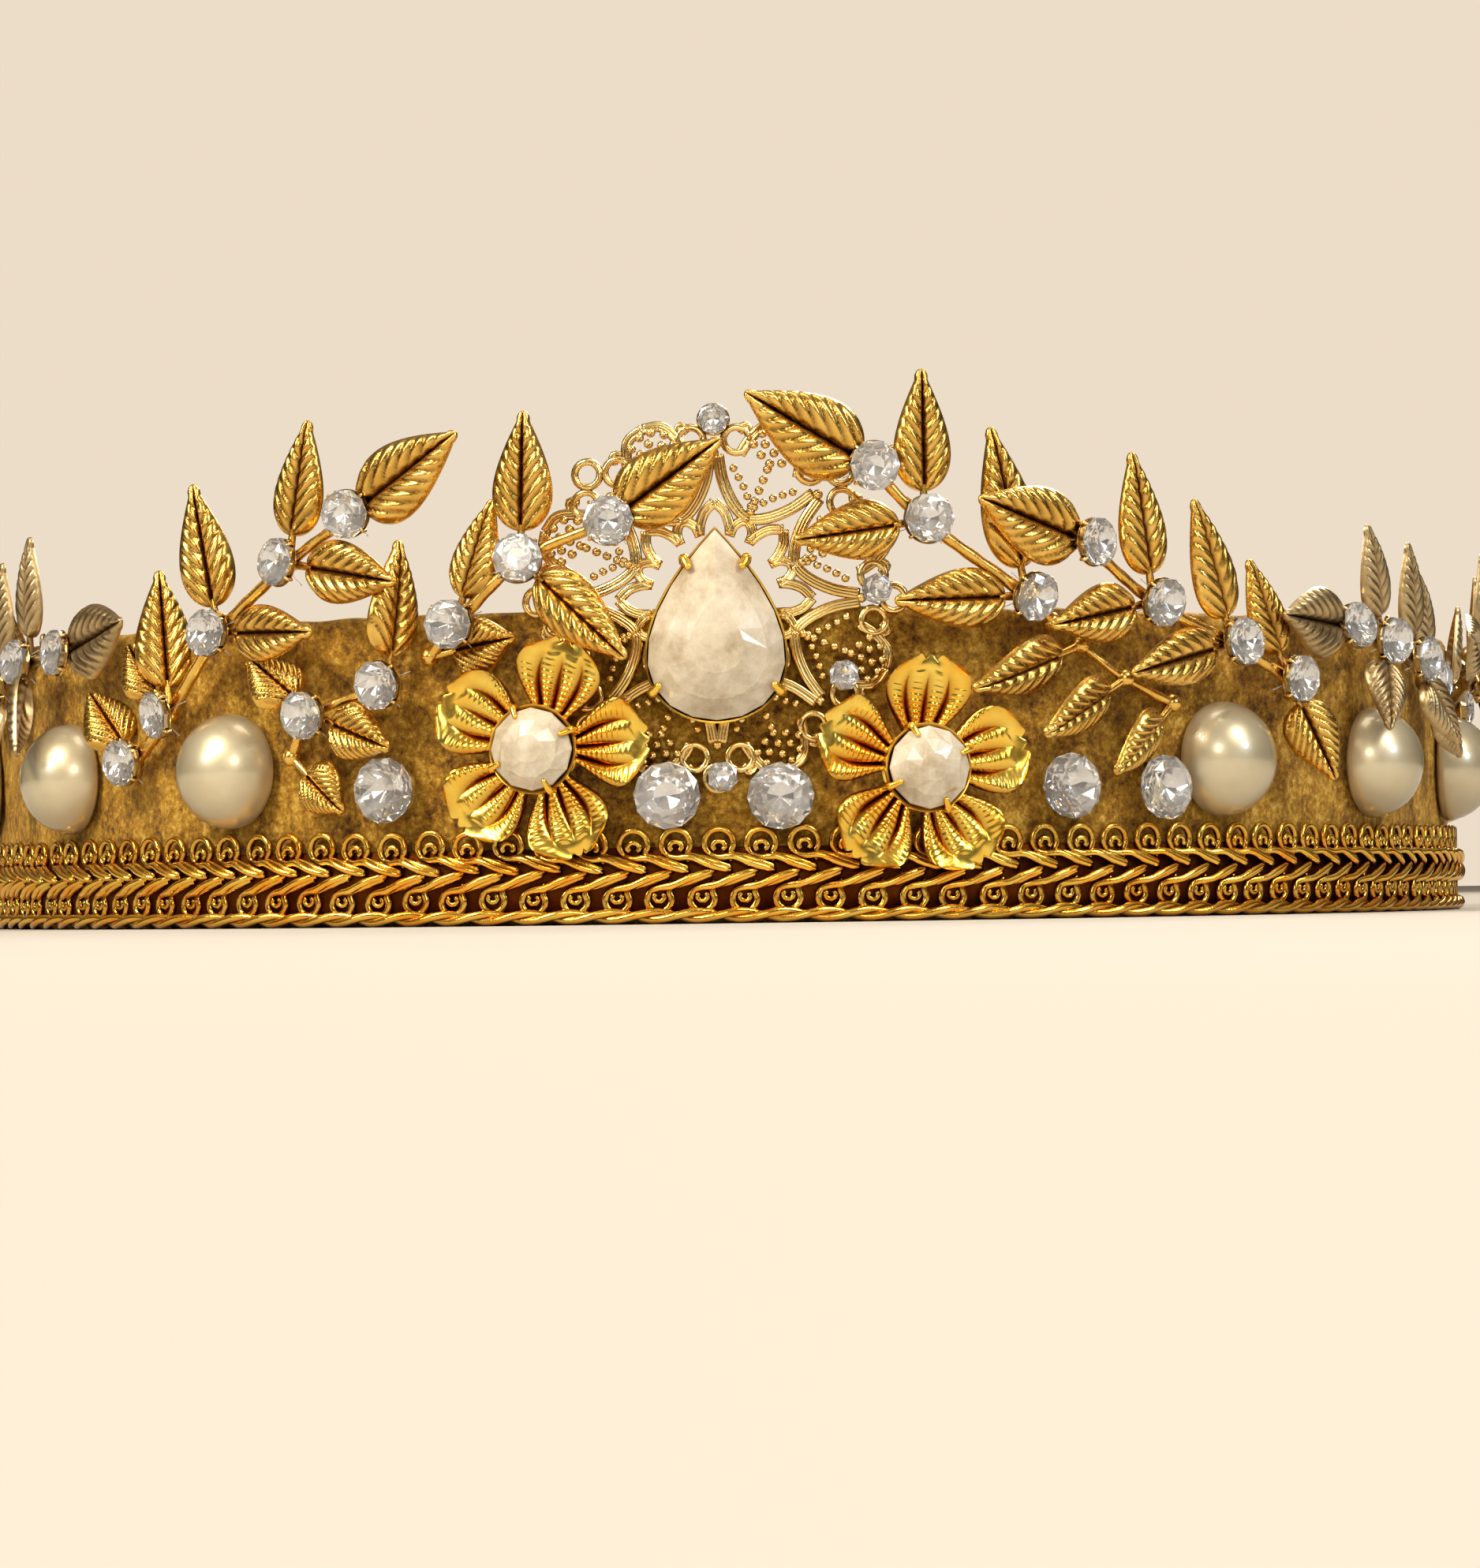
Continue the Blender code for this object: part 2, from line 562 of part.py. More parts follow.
def flat_back_stone(name, radius, frame, steps):
    """A round faceted stone with a flat back and a flat table."""
    profile = [
        (0, 0), (0.9 * radius, 0), (radius, 0.22 * radius), (0.58 * radius, 0.7 * radius), (0, 0.7 * radius),
    ]
    turned_piece(name, profile, steps, frame, CLEAR_GLASS, 0, 0.05)


def make_pearl(name, angle):
    frame = band_frame(angle, PEARL_HEIGHT, ON_BAND)
    profile = [(0, 0), (PEARL_FOOT, 0), (PEARL_RADIUS, PEARL_WIDEST * PEARL_RISE)]
    for degrees in PEARL_RINGS:
        turn = math.radians(degrees)
        rise = PEARL_RISE * (PEARL_WIDEST + (1 - PEARL_WIDEST) * math.sin(turn))
        profile.append((PEARL_RADIUS * math.cos(turn), rise))
    profile.append((0, PEARL_RISE))
    turned_piece(name, profile, 12, frame, PEARL_CREAM, 0, 0.25, smooth=True)


def leaf_solid(length, width):
    """A pointed leaf along +Y from the origin: broad near the base, ridged front and back."""
    bm = bmesh.new()
    base = bm.verts.new((0, 0, 0))
    tip = bm.verts.new((0, length, 0))
    stations = []
    for share in LEAF_STATIONS:
        fullness = math.sin(math.pi * share ** LEAF_POWER)
        half = width / 2 * fullness
        stations.append([
            bm.verts.new((-half, share * length, 0)),
            bm.verts.new((0, share * length, LEAF_FRONT_RISE * fullness)),
            bm.verts.new((half, share * length, 0)),
            bm.verts.new((0, share * length, -LEAF_BACK_RISE * fullness)),
        ])
    for k in range(4):
        m = (k + 1) % 4
        bm.faces.new((base, stations[0][k], stations[0][m]))
        bm.faces.new((tip, stations[-1][m], stations[-1][k]))
        for low, high in zip(stations, stations[1:]):
            bm.faces.new((low[k], low[m], high[m], high[k]))
    bmesh.ops.triangulate(bm, faces=bm.faces)
    return bm


def make_branch(name, joints, leaves):
    """A stem through the joints, with leaves that stand on short twigs at the joints."""
    frames = [band_frame(angle, height * MM, offset * MM) for angle, height, offset in joints]
    stem_points = [frame.translation for frame in frames]
    stem_radii = [STEM_RADIUS] * len(stem_points)
    stem = make_object(name, tube(stem_points, stem_radii, 5), ANTIQUE_GOLD, 1, 0.4)
    pieces = []
    for index, (joint, direction, length, tilt) in enumerate(leaves):
        broad = index == 0 and name not in NARROW_TIPPED
        width = BROAD_LEAF_WIDTH if broad else LEAF_WIDTH
        start = BROAD_TWIG_LENGTH if broad else TWIG_LENGTH
        turn = Matrix.Rotation(math.radians(-direction), 4, "Z")
        lean = Matrix.Rotation(math.radians(tilt), 4, "X")
        place = frames[joint] @ turn @ lean
        twig_end = Vector((0, start + 0.12 * length * MM, 0))
        twig = tube([place @ Vector((0, 0, 0)), place @ twig_end], [TWIG_RADIUS, 0.8 * TWIG_RADIUS], 3)
        leaf = leaf_solid(length * MM, width)
        bmesh.ops.transform(leaf, matrix=place @ Matrix.Translation((0, start, 0)), verts=leaf.verts)
        pieces.append(tool_object(twig, stem))
        pieces.append(tool_object(leaf, stem))
    union_into(stem, pieces)
    return stem


def mirrored(leaves):
    return [(joint, -direction, length, tilt) for joint, direction, length, tilt in leaves]


def make_branches():
    for name, (joints, leaves) in FRONT_BRANCHES.items():
        make_branch(name, joints, leaves)
    for number, (start, height) in enumerate(zip(BACK_BRANCH_STARTS, BACK_BRANCH_HEIGHTS), 1):
        steps = zip(BACK_JOINT_STEPS, BACK_JOINT_DROPS, BACK_JOINT_OFFSETS)
        right = [(start + step, height - drop, offset) for step, drop, offset in steps]
        left = [(-angle, joint_height, offset) for angle, joint_height, offset in right]
        make_branch(f"leaf_branch_right_back_{number}", right, BACK_LEAVES)
        make_branch(f"leaf_branch_left_back_{number}", left, mirrored(BACK_LEAVES))


def make_joint_stones():
    """The faceted stones stitched in front of the branch joints nearest the middle."""
    for name, (branch, joint) in JOINT_STONES.items():
        angle, height, offset = FRONT_BRANCHES[branch][0][joint]
        front = offset * MM + STEM_RADIUS + GAP
        flat_back_stone(f"joint_stone_{name}", JOINT_STONE_RADIUS, band_frame(angle, height * MM, front), 10)


def main():
    clear_scene()
    make_band()
    make_braid()
    make_plate()
    make_pear()
    for side, (angle, height, first_petal) in FLOWER_PLACES.items():
        make_flower(side, angle, height * MM, first_petal)
    for name, (angle, height) in RHINESTONE_PLACES.items():
        frame = band_frame(angle, height * MM, ON_PLATE)
        flat_back_stone(f"rhinestone_{name}", RHINESTONE_RADIUS, frame, 12)
    for name, (angle, height) in SMALL_STONE_PLACES.items():
        frame = band_frame(angle, height * MM, ON_PLATE)
        flat_back_stone(f"plate_stone_{name}", SMALL_STONE_RADIUS, frame, 8)
    for side, angles in PEARL_ANGLES.items():
        for number, angle in enumerate(angles, 1):
            make_pearl(f"pearl_{side}_{number}", angle)
    make_branches()
    make_joint_stones()


main()
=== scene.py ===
"""The looks of the crown: cloth band, gimp braid, filigree, stones, flowers, pearls and leaves.

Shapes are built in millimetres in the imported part's frame, and Shape.make turns them to metres.
A place on the band is an arc length from the front (towards +X), a height, and an offset out
from the lining's face. Left and right in names are as seen from the front.
"""
import math

import bpy
import numpy as np
from mathutils import Matrix, Vector


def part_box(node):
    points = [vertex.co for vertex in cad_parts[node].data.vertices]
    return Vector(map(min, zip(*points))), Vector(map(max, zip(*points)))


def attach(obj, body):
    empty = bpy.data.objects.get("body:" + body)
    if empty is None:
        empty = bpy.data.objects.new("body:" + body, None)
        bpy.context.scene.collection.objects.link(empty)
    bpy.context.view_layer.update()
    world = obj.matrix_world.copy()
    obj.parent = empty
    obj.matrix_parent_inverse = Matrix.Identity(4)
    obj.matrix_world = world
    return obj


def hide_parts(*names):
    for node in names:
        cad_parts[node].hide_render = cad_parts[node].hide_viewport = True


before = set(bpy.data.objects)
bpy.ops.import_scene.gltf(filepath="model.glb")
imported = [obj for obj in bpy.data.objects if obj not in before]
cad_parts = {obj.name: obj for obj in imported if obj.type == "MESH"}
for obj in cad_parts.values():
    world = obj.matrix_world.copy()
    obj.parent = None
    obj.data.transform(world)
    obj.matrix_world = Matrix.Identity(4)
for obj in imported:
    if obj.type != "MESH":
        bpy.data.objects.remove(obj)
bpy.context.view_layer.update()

MM = 0.001
UP = (0, 0, 1)
RANDOM = np.random.default_rng(7)


# ---------------------------------------------------------------- driving sizes, in millimetres

# The ring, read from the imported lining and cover.
LINING_THICKNESS = 0.6
LINING_LOW, LINING_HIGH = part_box("band_lining")
INNER_HALF_WIDTH = (LINING_HIGH.x - LINING_LOW.x) / 2 / MM - LINING_THICKNESS
INNER_HALF_DEPTH = (LINING_HIGH.y - LINING_LOW.y) / 2 / MM - LINING_THICKNESS
RING_CENTRE_Y = (LINING_HIGH.y + LINING_LOW.y) / 2 / MM
MEAN_RADIUS = 90
BAND_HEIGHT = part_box("band_cover")[1].z / MM
COVER_OUTER = 3.2
LINING_MARGIN = 1
STITCH_SPACING = 4.2

# Offsets that the ornaments sit on.
GAP = 0.3
ON_BAND = COVER_OUTER + GAP
ON_PLATE = ON_BAND + 0.8

# The braid: a loop is (height, radius).
BRAID_UNITS = 144
BRAID_LENGTHS = 4
CENTRE_LINE = 5.05
UPPER_LOOP = (7.6, 1.36)
LOWER_LOOP = (2.35, 1.16)
LOWER_SHIFT = -1.6
CORD = 0.34
BRAID_RELIEF_DEPTH = 1.1

# The filigree plate: half outlines as (radius, degrees from the petal's or the lobe's middle).
PLATE_HEIGHT = 30.8
PLATE_SECTORS = 8
EYELETS = ((15.2, 8.2), (15.2, -8.2), (17.0, 0))
PETAL = ((6.2, 13.5), (7.2, 11), (8.3, 6.5), (9.2, 0))
ARM = ((8.2, 0), (8.5, 6), (9.6, 13.4), (11.4, 18.6), (13.7, 20.9))
CAP = ((13.9, 12.2), (15.6, 9.5), (17.1, 5.6), (17.5, 0))
SCROLL = ((16.1, 9.8), (16.7, 12.0), (16.0, 14.0))
ARC = ((6.1, -9.5), (7.0, -8), (7.7, -4), (7.9, 0), (7.7, 4), (7.0, 8), (6.1, 9.5))
FERN = ((9.4, 1), (11.0, 8), (12.5, 14))
SPINE = ((8.9, 0), (11.0, 0), (13.2, 0))
GRANULES = ((13.8, 0), (14.3, 4.2), (14.3, -4.2), (14.9, 0), (15.1, 8), (15.1, -8), (15.4, 4),
            (15.4, -4), (16.0, 0), (16.3, 6), (16.3, -6), (16.9, 2), (16.9, -2))

# The pear stone: its outline is x = factor * sin t * |sin t/2|, y = half length * cos t.
PEAR_HEIGHT = 28.2
PEAR_HALF_LENGTH = 9
PEAR_WIDTH_FACTOR = 8.44
PEAR_HEAVY_END = -1.8
PEAR_CLAWS = (50, 132, 228, 310)

# The flowers: where each one's first petal points, in degrees from the band's own direction.
FIRST_PETALS = {"left": 5, "right": 14}
PETALS = 5
PETAL_FOOT = 2.4
PETAL_END = 10.3
PETAL_THICKNESS = 0.30

# Round stones and pearls.
RHINESTONE_RADIUS = 3.2
PLATE_STONE_RADIUS = 1.5
JOINT_STONE_RADIUS = 2.4
PEARL_RADIUS = 5.75
PEARL_RIM = 0.35

# Leaves and stems.
TWIG_LENGTH = 2.7
BROAD_TWIG_LENGTH = 1.2
STEM_RADIUS = 0.75
LEAF_WIDTH = 6.0
BROAD_LEAF_WIDTH = 7.6
LEAF_THICKNESS = 0.24
RIBS_PER_LEAF = 7.6
RIB_DEPTH_SHARE = 0.054

# Branches: joints as (angle in degrees, height, offset) from tip to root, and leaves as
# (joint, direction clockwise from up, length, tilt outwards, roll), with angles in degrees.
FRONT_BRANCHES = {
    "leaf_branch_front_left": (
        [(-6.5, 38.1, 6.4), (-12.1, 34.7, 6.4), (-16.7, 28.8, 5.4), (-18.8, 25.9, 4.4)],
        [(0, 56, 12.1, 6, 0), (1, 3, 11.4, 4, 0), (1, 131, 12.6, 14, 0), (2, 19, 9.8, 0, -20),
         (3, 80, 6.5, 2, 0)],
    ),
    "leaf_branch_left_upper": (
        [(-23.4, 39.8, 6.2), (-28.3, 35.4, 6.2), (-34.1, 29.0, 6.2), (-39.4, 21.4, 5.2),
         (-43.8, 16.8, 4.4)],
        [(0, 60, 13.0, 4, 0), (1, 13, 11.3, 2, 0), (1, 100, 11.8, 6, 0), (2, -11, 12.4, 2, 30),
         (2, 92, 11.5, 6, 0), (3, -11, 12.0, -4, 55), (3, -39, 6.5, 4, 45), (4, -44, 7.5, 4, 50)],
    ),
    "leaf_branch_left_lower": (
        [(-21.5, 23.3, 5.6), (-27.0, 20.7, 5.4), (-29.2, 16.7, 4.4)],
        [(0, 8, 11.2, 0, 68), (1, -53, 6.8, 2, 45), (1, 110, 7.5, 4, 0), (2, 129, 6.0, 4, 0)],
    ),
    "leaf_branch_left_side": (
        [(-49.3, 28.2, 6.4), (-55.1, 27.7, 6.4), (-60.4, 26.2, 6.0), (-65.8, 23.7, 4.4)],
        [(0, 80, 13.2, 4, 0), (1, 13, 10.5, 4, 0), (1, 141, 11.0, 22, 30), (2, 14, 10.0, 4, 0),
         (2, 168, 8.0, 16, 0), (3, -14, 9.5, 6, 0)],
    ),
    "leaf_branch_front_right": (
        [(9.7, 43.1, 6.6), (13.1, 38.0, 6.4), (20.2, 31.0, 5.4), (22.3, 28.6, 4.4)],
        [(0, -62, 13.1, 6, 0), (1, -2, 11.6, 4, 0), (1, -99, 10.9, 6, 0), (2, -93, 12.6, 8, 0),
         (2, -12, 13.8, -2, 0)],
    ),
    "leaf_branch_right_upper": (
        [(24.0, 36.1, 6.6), (29.1, 30.6, 6.4), (35.6, 26.8, 6.4), (40.8, 23.5, 6.4), (42.8, 22.2, 4.6)],
        [(0, -74, 12.8, 8, 0), (1, -12, 12.0, 2, 0), (1, -101, 10.8, 4, 0), (2, -23, 12.4, 2, 0),
         (2, -102, 13.2, 4, 0), (3, -22, 10.0, -6, 0), (3, 158, 8.5, 14, 30)],
    ),
    "leaf_branch_right_lower": (
        [(24.4, 26.4, 4.4), (27.6, 23.2, 4.8), (31.6, 20.9, 4.4)],
        [(0, -109, 11.4, 8, -25), (1, -116, 10.0, 8, -30), (2, -127, 8.9, 8, -30)],
    ),
    "leaf_branch_right_side": (
        [(47.1, 29.0, 6.4), (51.9, 27.9, 6.4), (57.2, 26.3, 6.2), (62.5, 24.3, 4.6)],
        [(0, -87, 12.2, 4, 0), (1, -24, 10.0, 4, 0), (1, -154, 8.0, 16, 20), (2, -20, 10.0, 4, 0),
         (2, 149, 8.0, 16, 0), (3, -22, 9.5, 4, 0), (3, 142, 7.5, 12, 0)],
    ),
}
STONES_ON_BRANCH = {
    "leaf_branch_front_left": 3, "leaf_branch_left_upper": 5, "leaf_branch_left_lower": 2,
    "leaf_branch_front_right": 3, "leaf_branch_right_upper": 4, "leaf_branch_right_lower": 0,
}
BACK_BRANCH_STARTS = (73, 100, 127)
BACK_BRANCH_HEIGHTS = (28.0, 26.5, 25.0)
BACK_JOINTS = ((0, 0, 6.4), (5.0, 0.8, 6.4), (10.0, 2.4, 6.0), (15.0, 4.8, 4.4))
BACK_LEAVES = [(0, -84, 12.5, 4, 0), (1, -18, 10.0, 4, 0), (1, -152, 8.0, 16, 0), (2, -14, 9.5, 4, 0),
               (2, 152, 8.0, 30, 0), (3, -10, 9.0, 4, 0)]


# ---------------------------------------------------------------- places on the band

def band_positions(turns, heights, offsets):
    """Points for band angles in radians, heights and offsets (arrays or numbers)."""
    turns, heights, offsets = np.broadcast_arrays(turns, heights, offsets)
    across = np.sin(turns) / INNER_HALF_WIDTH
    deep = -np.cos(turns) / INNER_HALF_DEPTH
    size = np.hypot(across, deep)
    x = INNER_HALF_WIDTH * np.sin(turns) + offsets * across / size
    y = RING_CENTRE_Y - INNER_HALF_DEPTH * np.cos(turns) + offsets * deep / size
    return np.stack([x, y, heights], axis=-1)


ARC_TURNS = np.linspace(-math.pi, math.pi, 7201)
ARC_STEPS = np.linalg.norm(np.diff(band_positions(ARC_TURNS, 0, ON_BAND), axis=0), axis=1)
ARC_LENGTHS = np.concatenate([[0], np.cumsum(ARC_STEPS)])
ARC_LENGTHS -= np.interp(0, ARC_TURNS, ARC_LENGTHS)
PERIMETER = ARC_LENGTHS[-1] - ARC_LENGTHS[0]
PITCH = PERIMETER / BRAID_UNITS


def turn_at(arc):
    """Band angle in radians at an arc length from the front, wrapping round the back."""
    wrapped = (np.asarray(arc) - ARC_LENGTHS[0]) % PERIMETER + ARC_LENGTHS[0]
    return np.interp(wrapped, ARC_LENGTHS, ARC_TURNS)


def bend_round(points):
    """Points as (arc length, height, offset) rows, laid on the band."""
    points = np.asarray(points)
    return band_positions(turn_at(points[:, 0]), points[:, 1], points[:, 2])


def band_frame(degrees, height, offset):
    """A frame on the band: X along it, Y up, Z straight out."""
    turn = math.radians(degrees)
    outward = Vector((math.sin(turn) / INNER_HALF_WIDTH, -math.cos(turn) / INNER_HALF_DEPTH, 0)).normalized()
    along = Vector((-outward.y, outward.x, 0))
    placed = Matrix((along, Vector(UP), outward)).transposed().to_4x4()
    placed.translation = Vector(band_positions(turn, height, offset).tolist())
    return placed


def node_place(node):
    """Band angle in degrees and height of a turned CAD node, from the middle of its corners."""
    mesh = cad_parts[node].data
    corners = np.empty(len(mesh.vertices) * 3, dtype=np.float32)
    mesh.vertices.foreach_get("co", corners)
    micrometres = 6
    corners = np.unique(np.round(corners.reshape(-1, 3), micrometres), axis=0)
    middle = corners.mean(axis=0) / MM
    feet = band_positions(ARC_TURNS, middle[2], 0)
    outward = band_positions(ARC_TURNS, middle[2], 1) - feet
    away = middle - feet
    miss = np.linalg.norm(np.cross(outward, away), axis=1)
    miss[np.sum(outward * away, axis=1) < 0] = np.inf
    return math.degrees(ARC_TURNS[int(np.argmin(miss))]), float(middle[2])


# ---------------------------------------------------------------- mesh building

class Shape:
    """Corners, faces and reliefs gathered from closed forms into one mesh."""

    def __init__(self, *form, relief=1.0):
        self.corners = []
        self.reliefs = []
        self.quads = []
        self.triangles = []
        self.count = 0
        if form:
            self.add(*form, relief=relief)

    def add(self, corners, quads=(), triangles=(), relief=1.0):
        """Add corners and faces; relief runs from 0 in a crevice to 1 on a ridge."""
        for kept, faces, width in ((self.quads, quads, 4), (self.triangles, triangles, 3)):
            kept.append(np.asarray(faces, dtype=np.int64).reshape(-1, width) + self.count)
        self.corners.append(np.asarray(corners, dtype=float))
        self.reliefs.append(np.broadcast_to(np.ravel(relief), len(corners)))
        self.count += len(corners)

    def transform(self, matrix):
        """Move everything gathered so far by a 4x4 matrix."""
        turn = np.array(matrix.to_3x3())
        move = np.array(matrix.translation)
        self.corners = [points @ turn.T + move for points in self.corners]
        return self

    def join(self, other):
        self.corners.extend(other.corners)
        self.reliefs.extend(other.reliefs)
        self.quads.extend(faces + self.count for faces in other.quads)
        self.triangles.extend(faces + self.count for faces in other.triangles)
        self.count += other.count

    def make(self, name, material, slot, smooth=True, replaces=(), angle=None):
        """Turn the gathered faces into an object that rides on the crown's one body."""
        corners = np.concatenate(self.corners) * MM
        quads = np.concatenate(self.quads)
        triangles = np.concatenate(self.triangles)
        sizes = np.repeat([4, 3], [len(quads), len(triangles)])
        mesh = bpy.data.meshes.new(name)
        mesh.vertices.add(len(corners))
        mesh.vertices.foreach_set("co", corners.ravel())
        mesh.loops.add(int(sizes.sum()))
        mesh.loops.foreach_set("vertex_index", np.concatenate([quads.ravel(), triangles.ravel()]))
        mesh.polygons.add(len(sizes))
        mesh.polygons.foreach_set("loop_start", np.cumsum(sizes) - sizes)
        mesh.update(calc_edges=True)
        mesh.validate()
        # The relief attribute is the mask by which the metals paint shade into crevices.
        relief = mesh.attributes.new("relief", "FLOAT", "POINT")
        relief.data.foreach_set("value", np.concatenate(self.reliefs))
        mesh.materials.append(material)
        if smooth:
            mesh.shade_smooth()
        else:
            mesh.shade_flat()
        if angle is not None:
            mesh.set_sharp_from_angle(angle=math.radians(angle))
        made = link_object(name, mesh)
        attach(made, "root")
        if replaces:
            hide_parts(*replaces)
        return made


def link_object(name, data):
    made = bpy.data.objects.new(name, data)
    bpy.context.scene.collection.objects.link(made)
    return made


def ring_quads(count, sides, closed=True):
    """Quads between rings of corners that follow each other; closed joins the last to the first."""
    row = np.arange(count if closed else count - 1)[:, None]
    after = (row + 1) % count
    here = np.arange(sides)
    following = (here + 1) % sides
    corners = (row * sides + here, row * sides + following, after * sides + following, after * sides + here)
    return np.stack(corners, axis=-1).reshape(-1, 4)


def cap_triangles(count, sides):
    """Fans that close a stack of rings, whose low and high end points come after them."""
    here = np.arange(sides)
    following = (here + 1) % sides
    low_end = np.full(sides, count * sides)
    last = (count - 1) * sides
    low = np.stack([low_end, following, here], axis=-1)
    high = np.stack([low_end + 1, last + here, last + following], axis=-1)
    return np.concatenate([low, high])


def tube_rings(path, ahead, radii, sides, reference):
    """Rings of corners round a path whose direction at each point is given."""
    ahead = ahead / np.linalg.norm(ahead, axis=1)[:, None]
    side = np.cross(ahead, np.asarray(reference, dtype=float))
    side /= np.linalg.norm(side, axis=1)[:, None]
    rise = np.cross(side, ahead)
    turns = (math.tau * np.arange(sides) / sides)[:, None]
    ring = side[:, None, :] * np.cos(turns) + rise[:, None, :] * np.sin(turns)
    return (path[:, None, :] + np.reshape(radii, (-1, 1, 1)) * ring).reshape(-1, 3)


def tube(path, radii, sides, reference=UP):
    """A capped tube along a path; reference is a direction that the path never follows."""
    path = np.asarray(path, dtype=float)
    rings = tube_rings(path, np.gradient(path, axis=0), radii, sides, reference)
    quads = ring_quads(len(path), sides, closed=False)
    caps = cap_triangles(len(path), sides)
    return np.concatenate([rings, path[:1], path[-1:]]), quads[:, ::-1], caps[:, ::-1]


def closed_tube(path, radius, sides):
    """A tube round a closed path."""
    ahead = np.roll(path, -1, axis=0) - np.roll(path, 1, axis=0)
    return tube_rings(path, ahead, radius, sides, UP), ring_quads(len(path), sides)[:, ::-1]


def smooth_path(points, step):
    """A smooth curve through a few points (Catmull-Rom), sampled about every step."""
    points = np.asarray(points, dtype=float)
    padded = np.concatenate([[2 * points[0] - points[1]], points, [2 * points[-1] - points[-2]]])
    pieces = []
    for a, b, c, d in zip(padded, padded[1:], padded[2:], padded[3:]):
        count = max(2, int(np.linalg.norm(c - b) / step) + 1)
        t = np.linspace(0, 1, count, endpoint=False)[:, None]
        pieces.append(0.5 * (2 * b + (c - a) * t + (2 * a - 5 * b + 4 * c - d) * t ** 2
                             + (3 * b - a - 3 * c + d) * t ** 3))
    return np.concatenate([*pieces, points[-1:]])


def lathe(profile, steps):
    """Turn (radius, height) points round Z; the end points lie on the axis."""
    profile = np.asarray(profile, dtype=float)
    turns = math.tau * np.arange(steps) / steps
    rings = [np.stack([radius * np.cos(turns), radius * np.sin(turns), np.full(steps, height)], axis=-1)
             for radius, height in profile[1:-1]]
    corners = np.concatenate([*rings, [(0, 0, profile[0, 1])], [(0, 0, profile[-1, 1])]])
    return corners, ring_quads(len(rings), steps, closed=False), cap_triangles(len(rings), steps)


def ball(centre, radius, rows=6, columns=9):
    """A small smooth ball."""
    lats = np.linspace(-math.pi / 2, math.pi / 2, rows + 1)
    corners, quads, triangles = lathe(radius * np.stack([np.cos(lats), np.sin(lats)], axis=-1), columns)
    return corners + np.asarray(centre), quads, triangles


def thin_sheet(front, thickness, relief):
    """A thin solid under a grid of points (rows, columns, 3), with the same relief on both sides."""
    rows, columns, _ = front.shape
    index = np.arange(rows * columns).reshape(rows, columns)
    face = np.stack([index[:-1, :-1], index[:-1, 1:], index[1:, 1:], index[1:, :-1]], axis=-1).reshape(-1, 4)
    shift = rows * columns
    rim = np.concatenate([index[0, :-1], index[:-1, -1], index[-1, :0:-1], index[:0:-1, 0]])
    after = np.roll(rim, -1)
    wall = np.stack([after, rim, rim + shift, after + shift], axis=-1)
    corners = np.concatenate([front.reshape(-1, 3), (front - [0, 0, thickness]).reshape(-1, 3)])
    faces = np.concatenate([face, face[:, ::-1] + shift, wall])
    return Shape(corners, faces, relief=np.tile(relief.ravel(), 2))


def ring_turns(columns):
    """Band angles round the whole ring, one row each."""
    return math.tau * np.arange(columns)[:, None] / columns


def swept_ring(turns, heights, offsets):
    """A closed profile swept round the band."""
    corners = band_positions(turns, heights, offsets)
    return corners.reshape(-1, 3), ring_quads(*corners.shape[:2])[:, ::-1]


def claw(foot, top, tip, radius):
    """A bent claw with a rounded tip."""
    step = 0.201  # just over a fifth, so that rounding never adds a sample to a 1 mm tip
    path = smooth_path([foot, (foot + top) / 2, top, tip], step)
    radii = radius * np.interp(np.linspace(0, 1, len(path)), [0, 0.7, 1], [1.15, 1.0, 0.75])
    shape = Shape(*tube(path, radii, 9, (0.31, 0.23, 0.05)))
    shape.add(*ball(path[-1], 0.78 * radius))
    return shape


def stacked_rings(rings, low_end, high_end):
    """Facets over a stack of clockwise rings, split by alternating diagonals, with a point at each end."""
    count = len(rings[0])
    facets = cap_triangles(len(rings), count)[:, ::-1].tolist()
    for level in range(len(rings) - 1):
        for here in range(count):
            a = level * count + here
            b = level * count + (here + 1) % count
            c, d = a + count, b + count
            facets += [(a, d, b), (a, c, d)] if (level + here) % 2 else [(a, c, b), (b, c, d)]
    return np.concatenate([*rings, [low_end], [high_end]]), (), facets


def facet_rings(radius, facets, levels):
    """Clockwise rings of corners; each level is (share of the radius, rise as a share, turn in steps)."""
    rings = []
    for share, rise, shift in levels:
        turns = -math.tau * (np.arange(facets) + shift) / facets
        rings.append(radius * np.stack([share * np.cos(turns), share * np.sin(turns),
                                        np.full(facets, rise)], axis=-1))
    return rings


# ---------------------------------------------------------------- materials, in metres

def fill(tree, node, inputs):
    """Give a node's inputs their values, or link them where a value is another node's output."""
    for key, value in inputs.items():
        if isinstance(value, bpy.types.NodeSocket):
            tree.links.new(value, node.inputs[key])
        else:
            node.inputs[key].default_value = value


def new_material(name):
    """An empty Principled material: (material, node tree, shader)."""
    material = bpy.data.materials.new(name)
    material.use_nodes = True
    return material, material.node_tree, material.node_tree.nodes["Principled BSDF"]


def object_place(tree):
    return tree.nodes.new("ShaderNodeTexCoord").outputs["Object"]


def noise(tree, scale, detail, rough):
    """Noise over the object's own coordinates, in features per metre."""
    node = tree.nodes.new("ShaderNodeTexNoise")
    fill(tree, node, {"Vector": object_place(tree), "Scale": scale, "Detail": detail, "Roughness": rough})
    return node.outputs["Fac"]


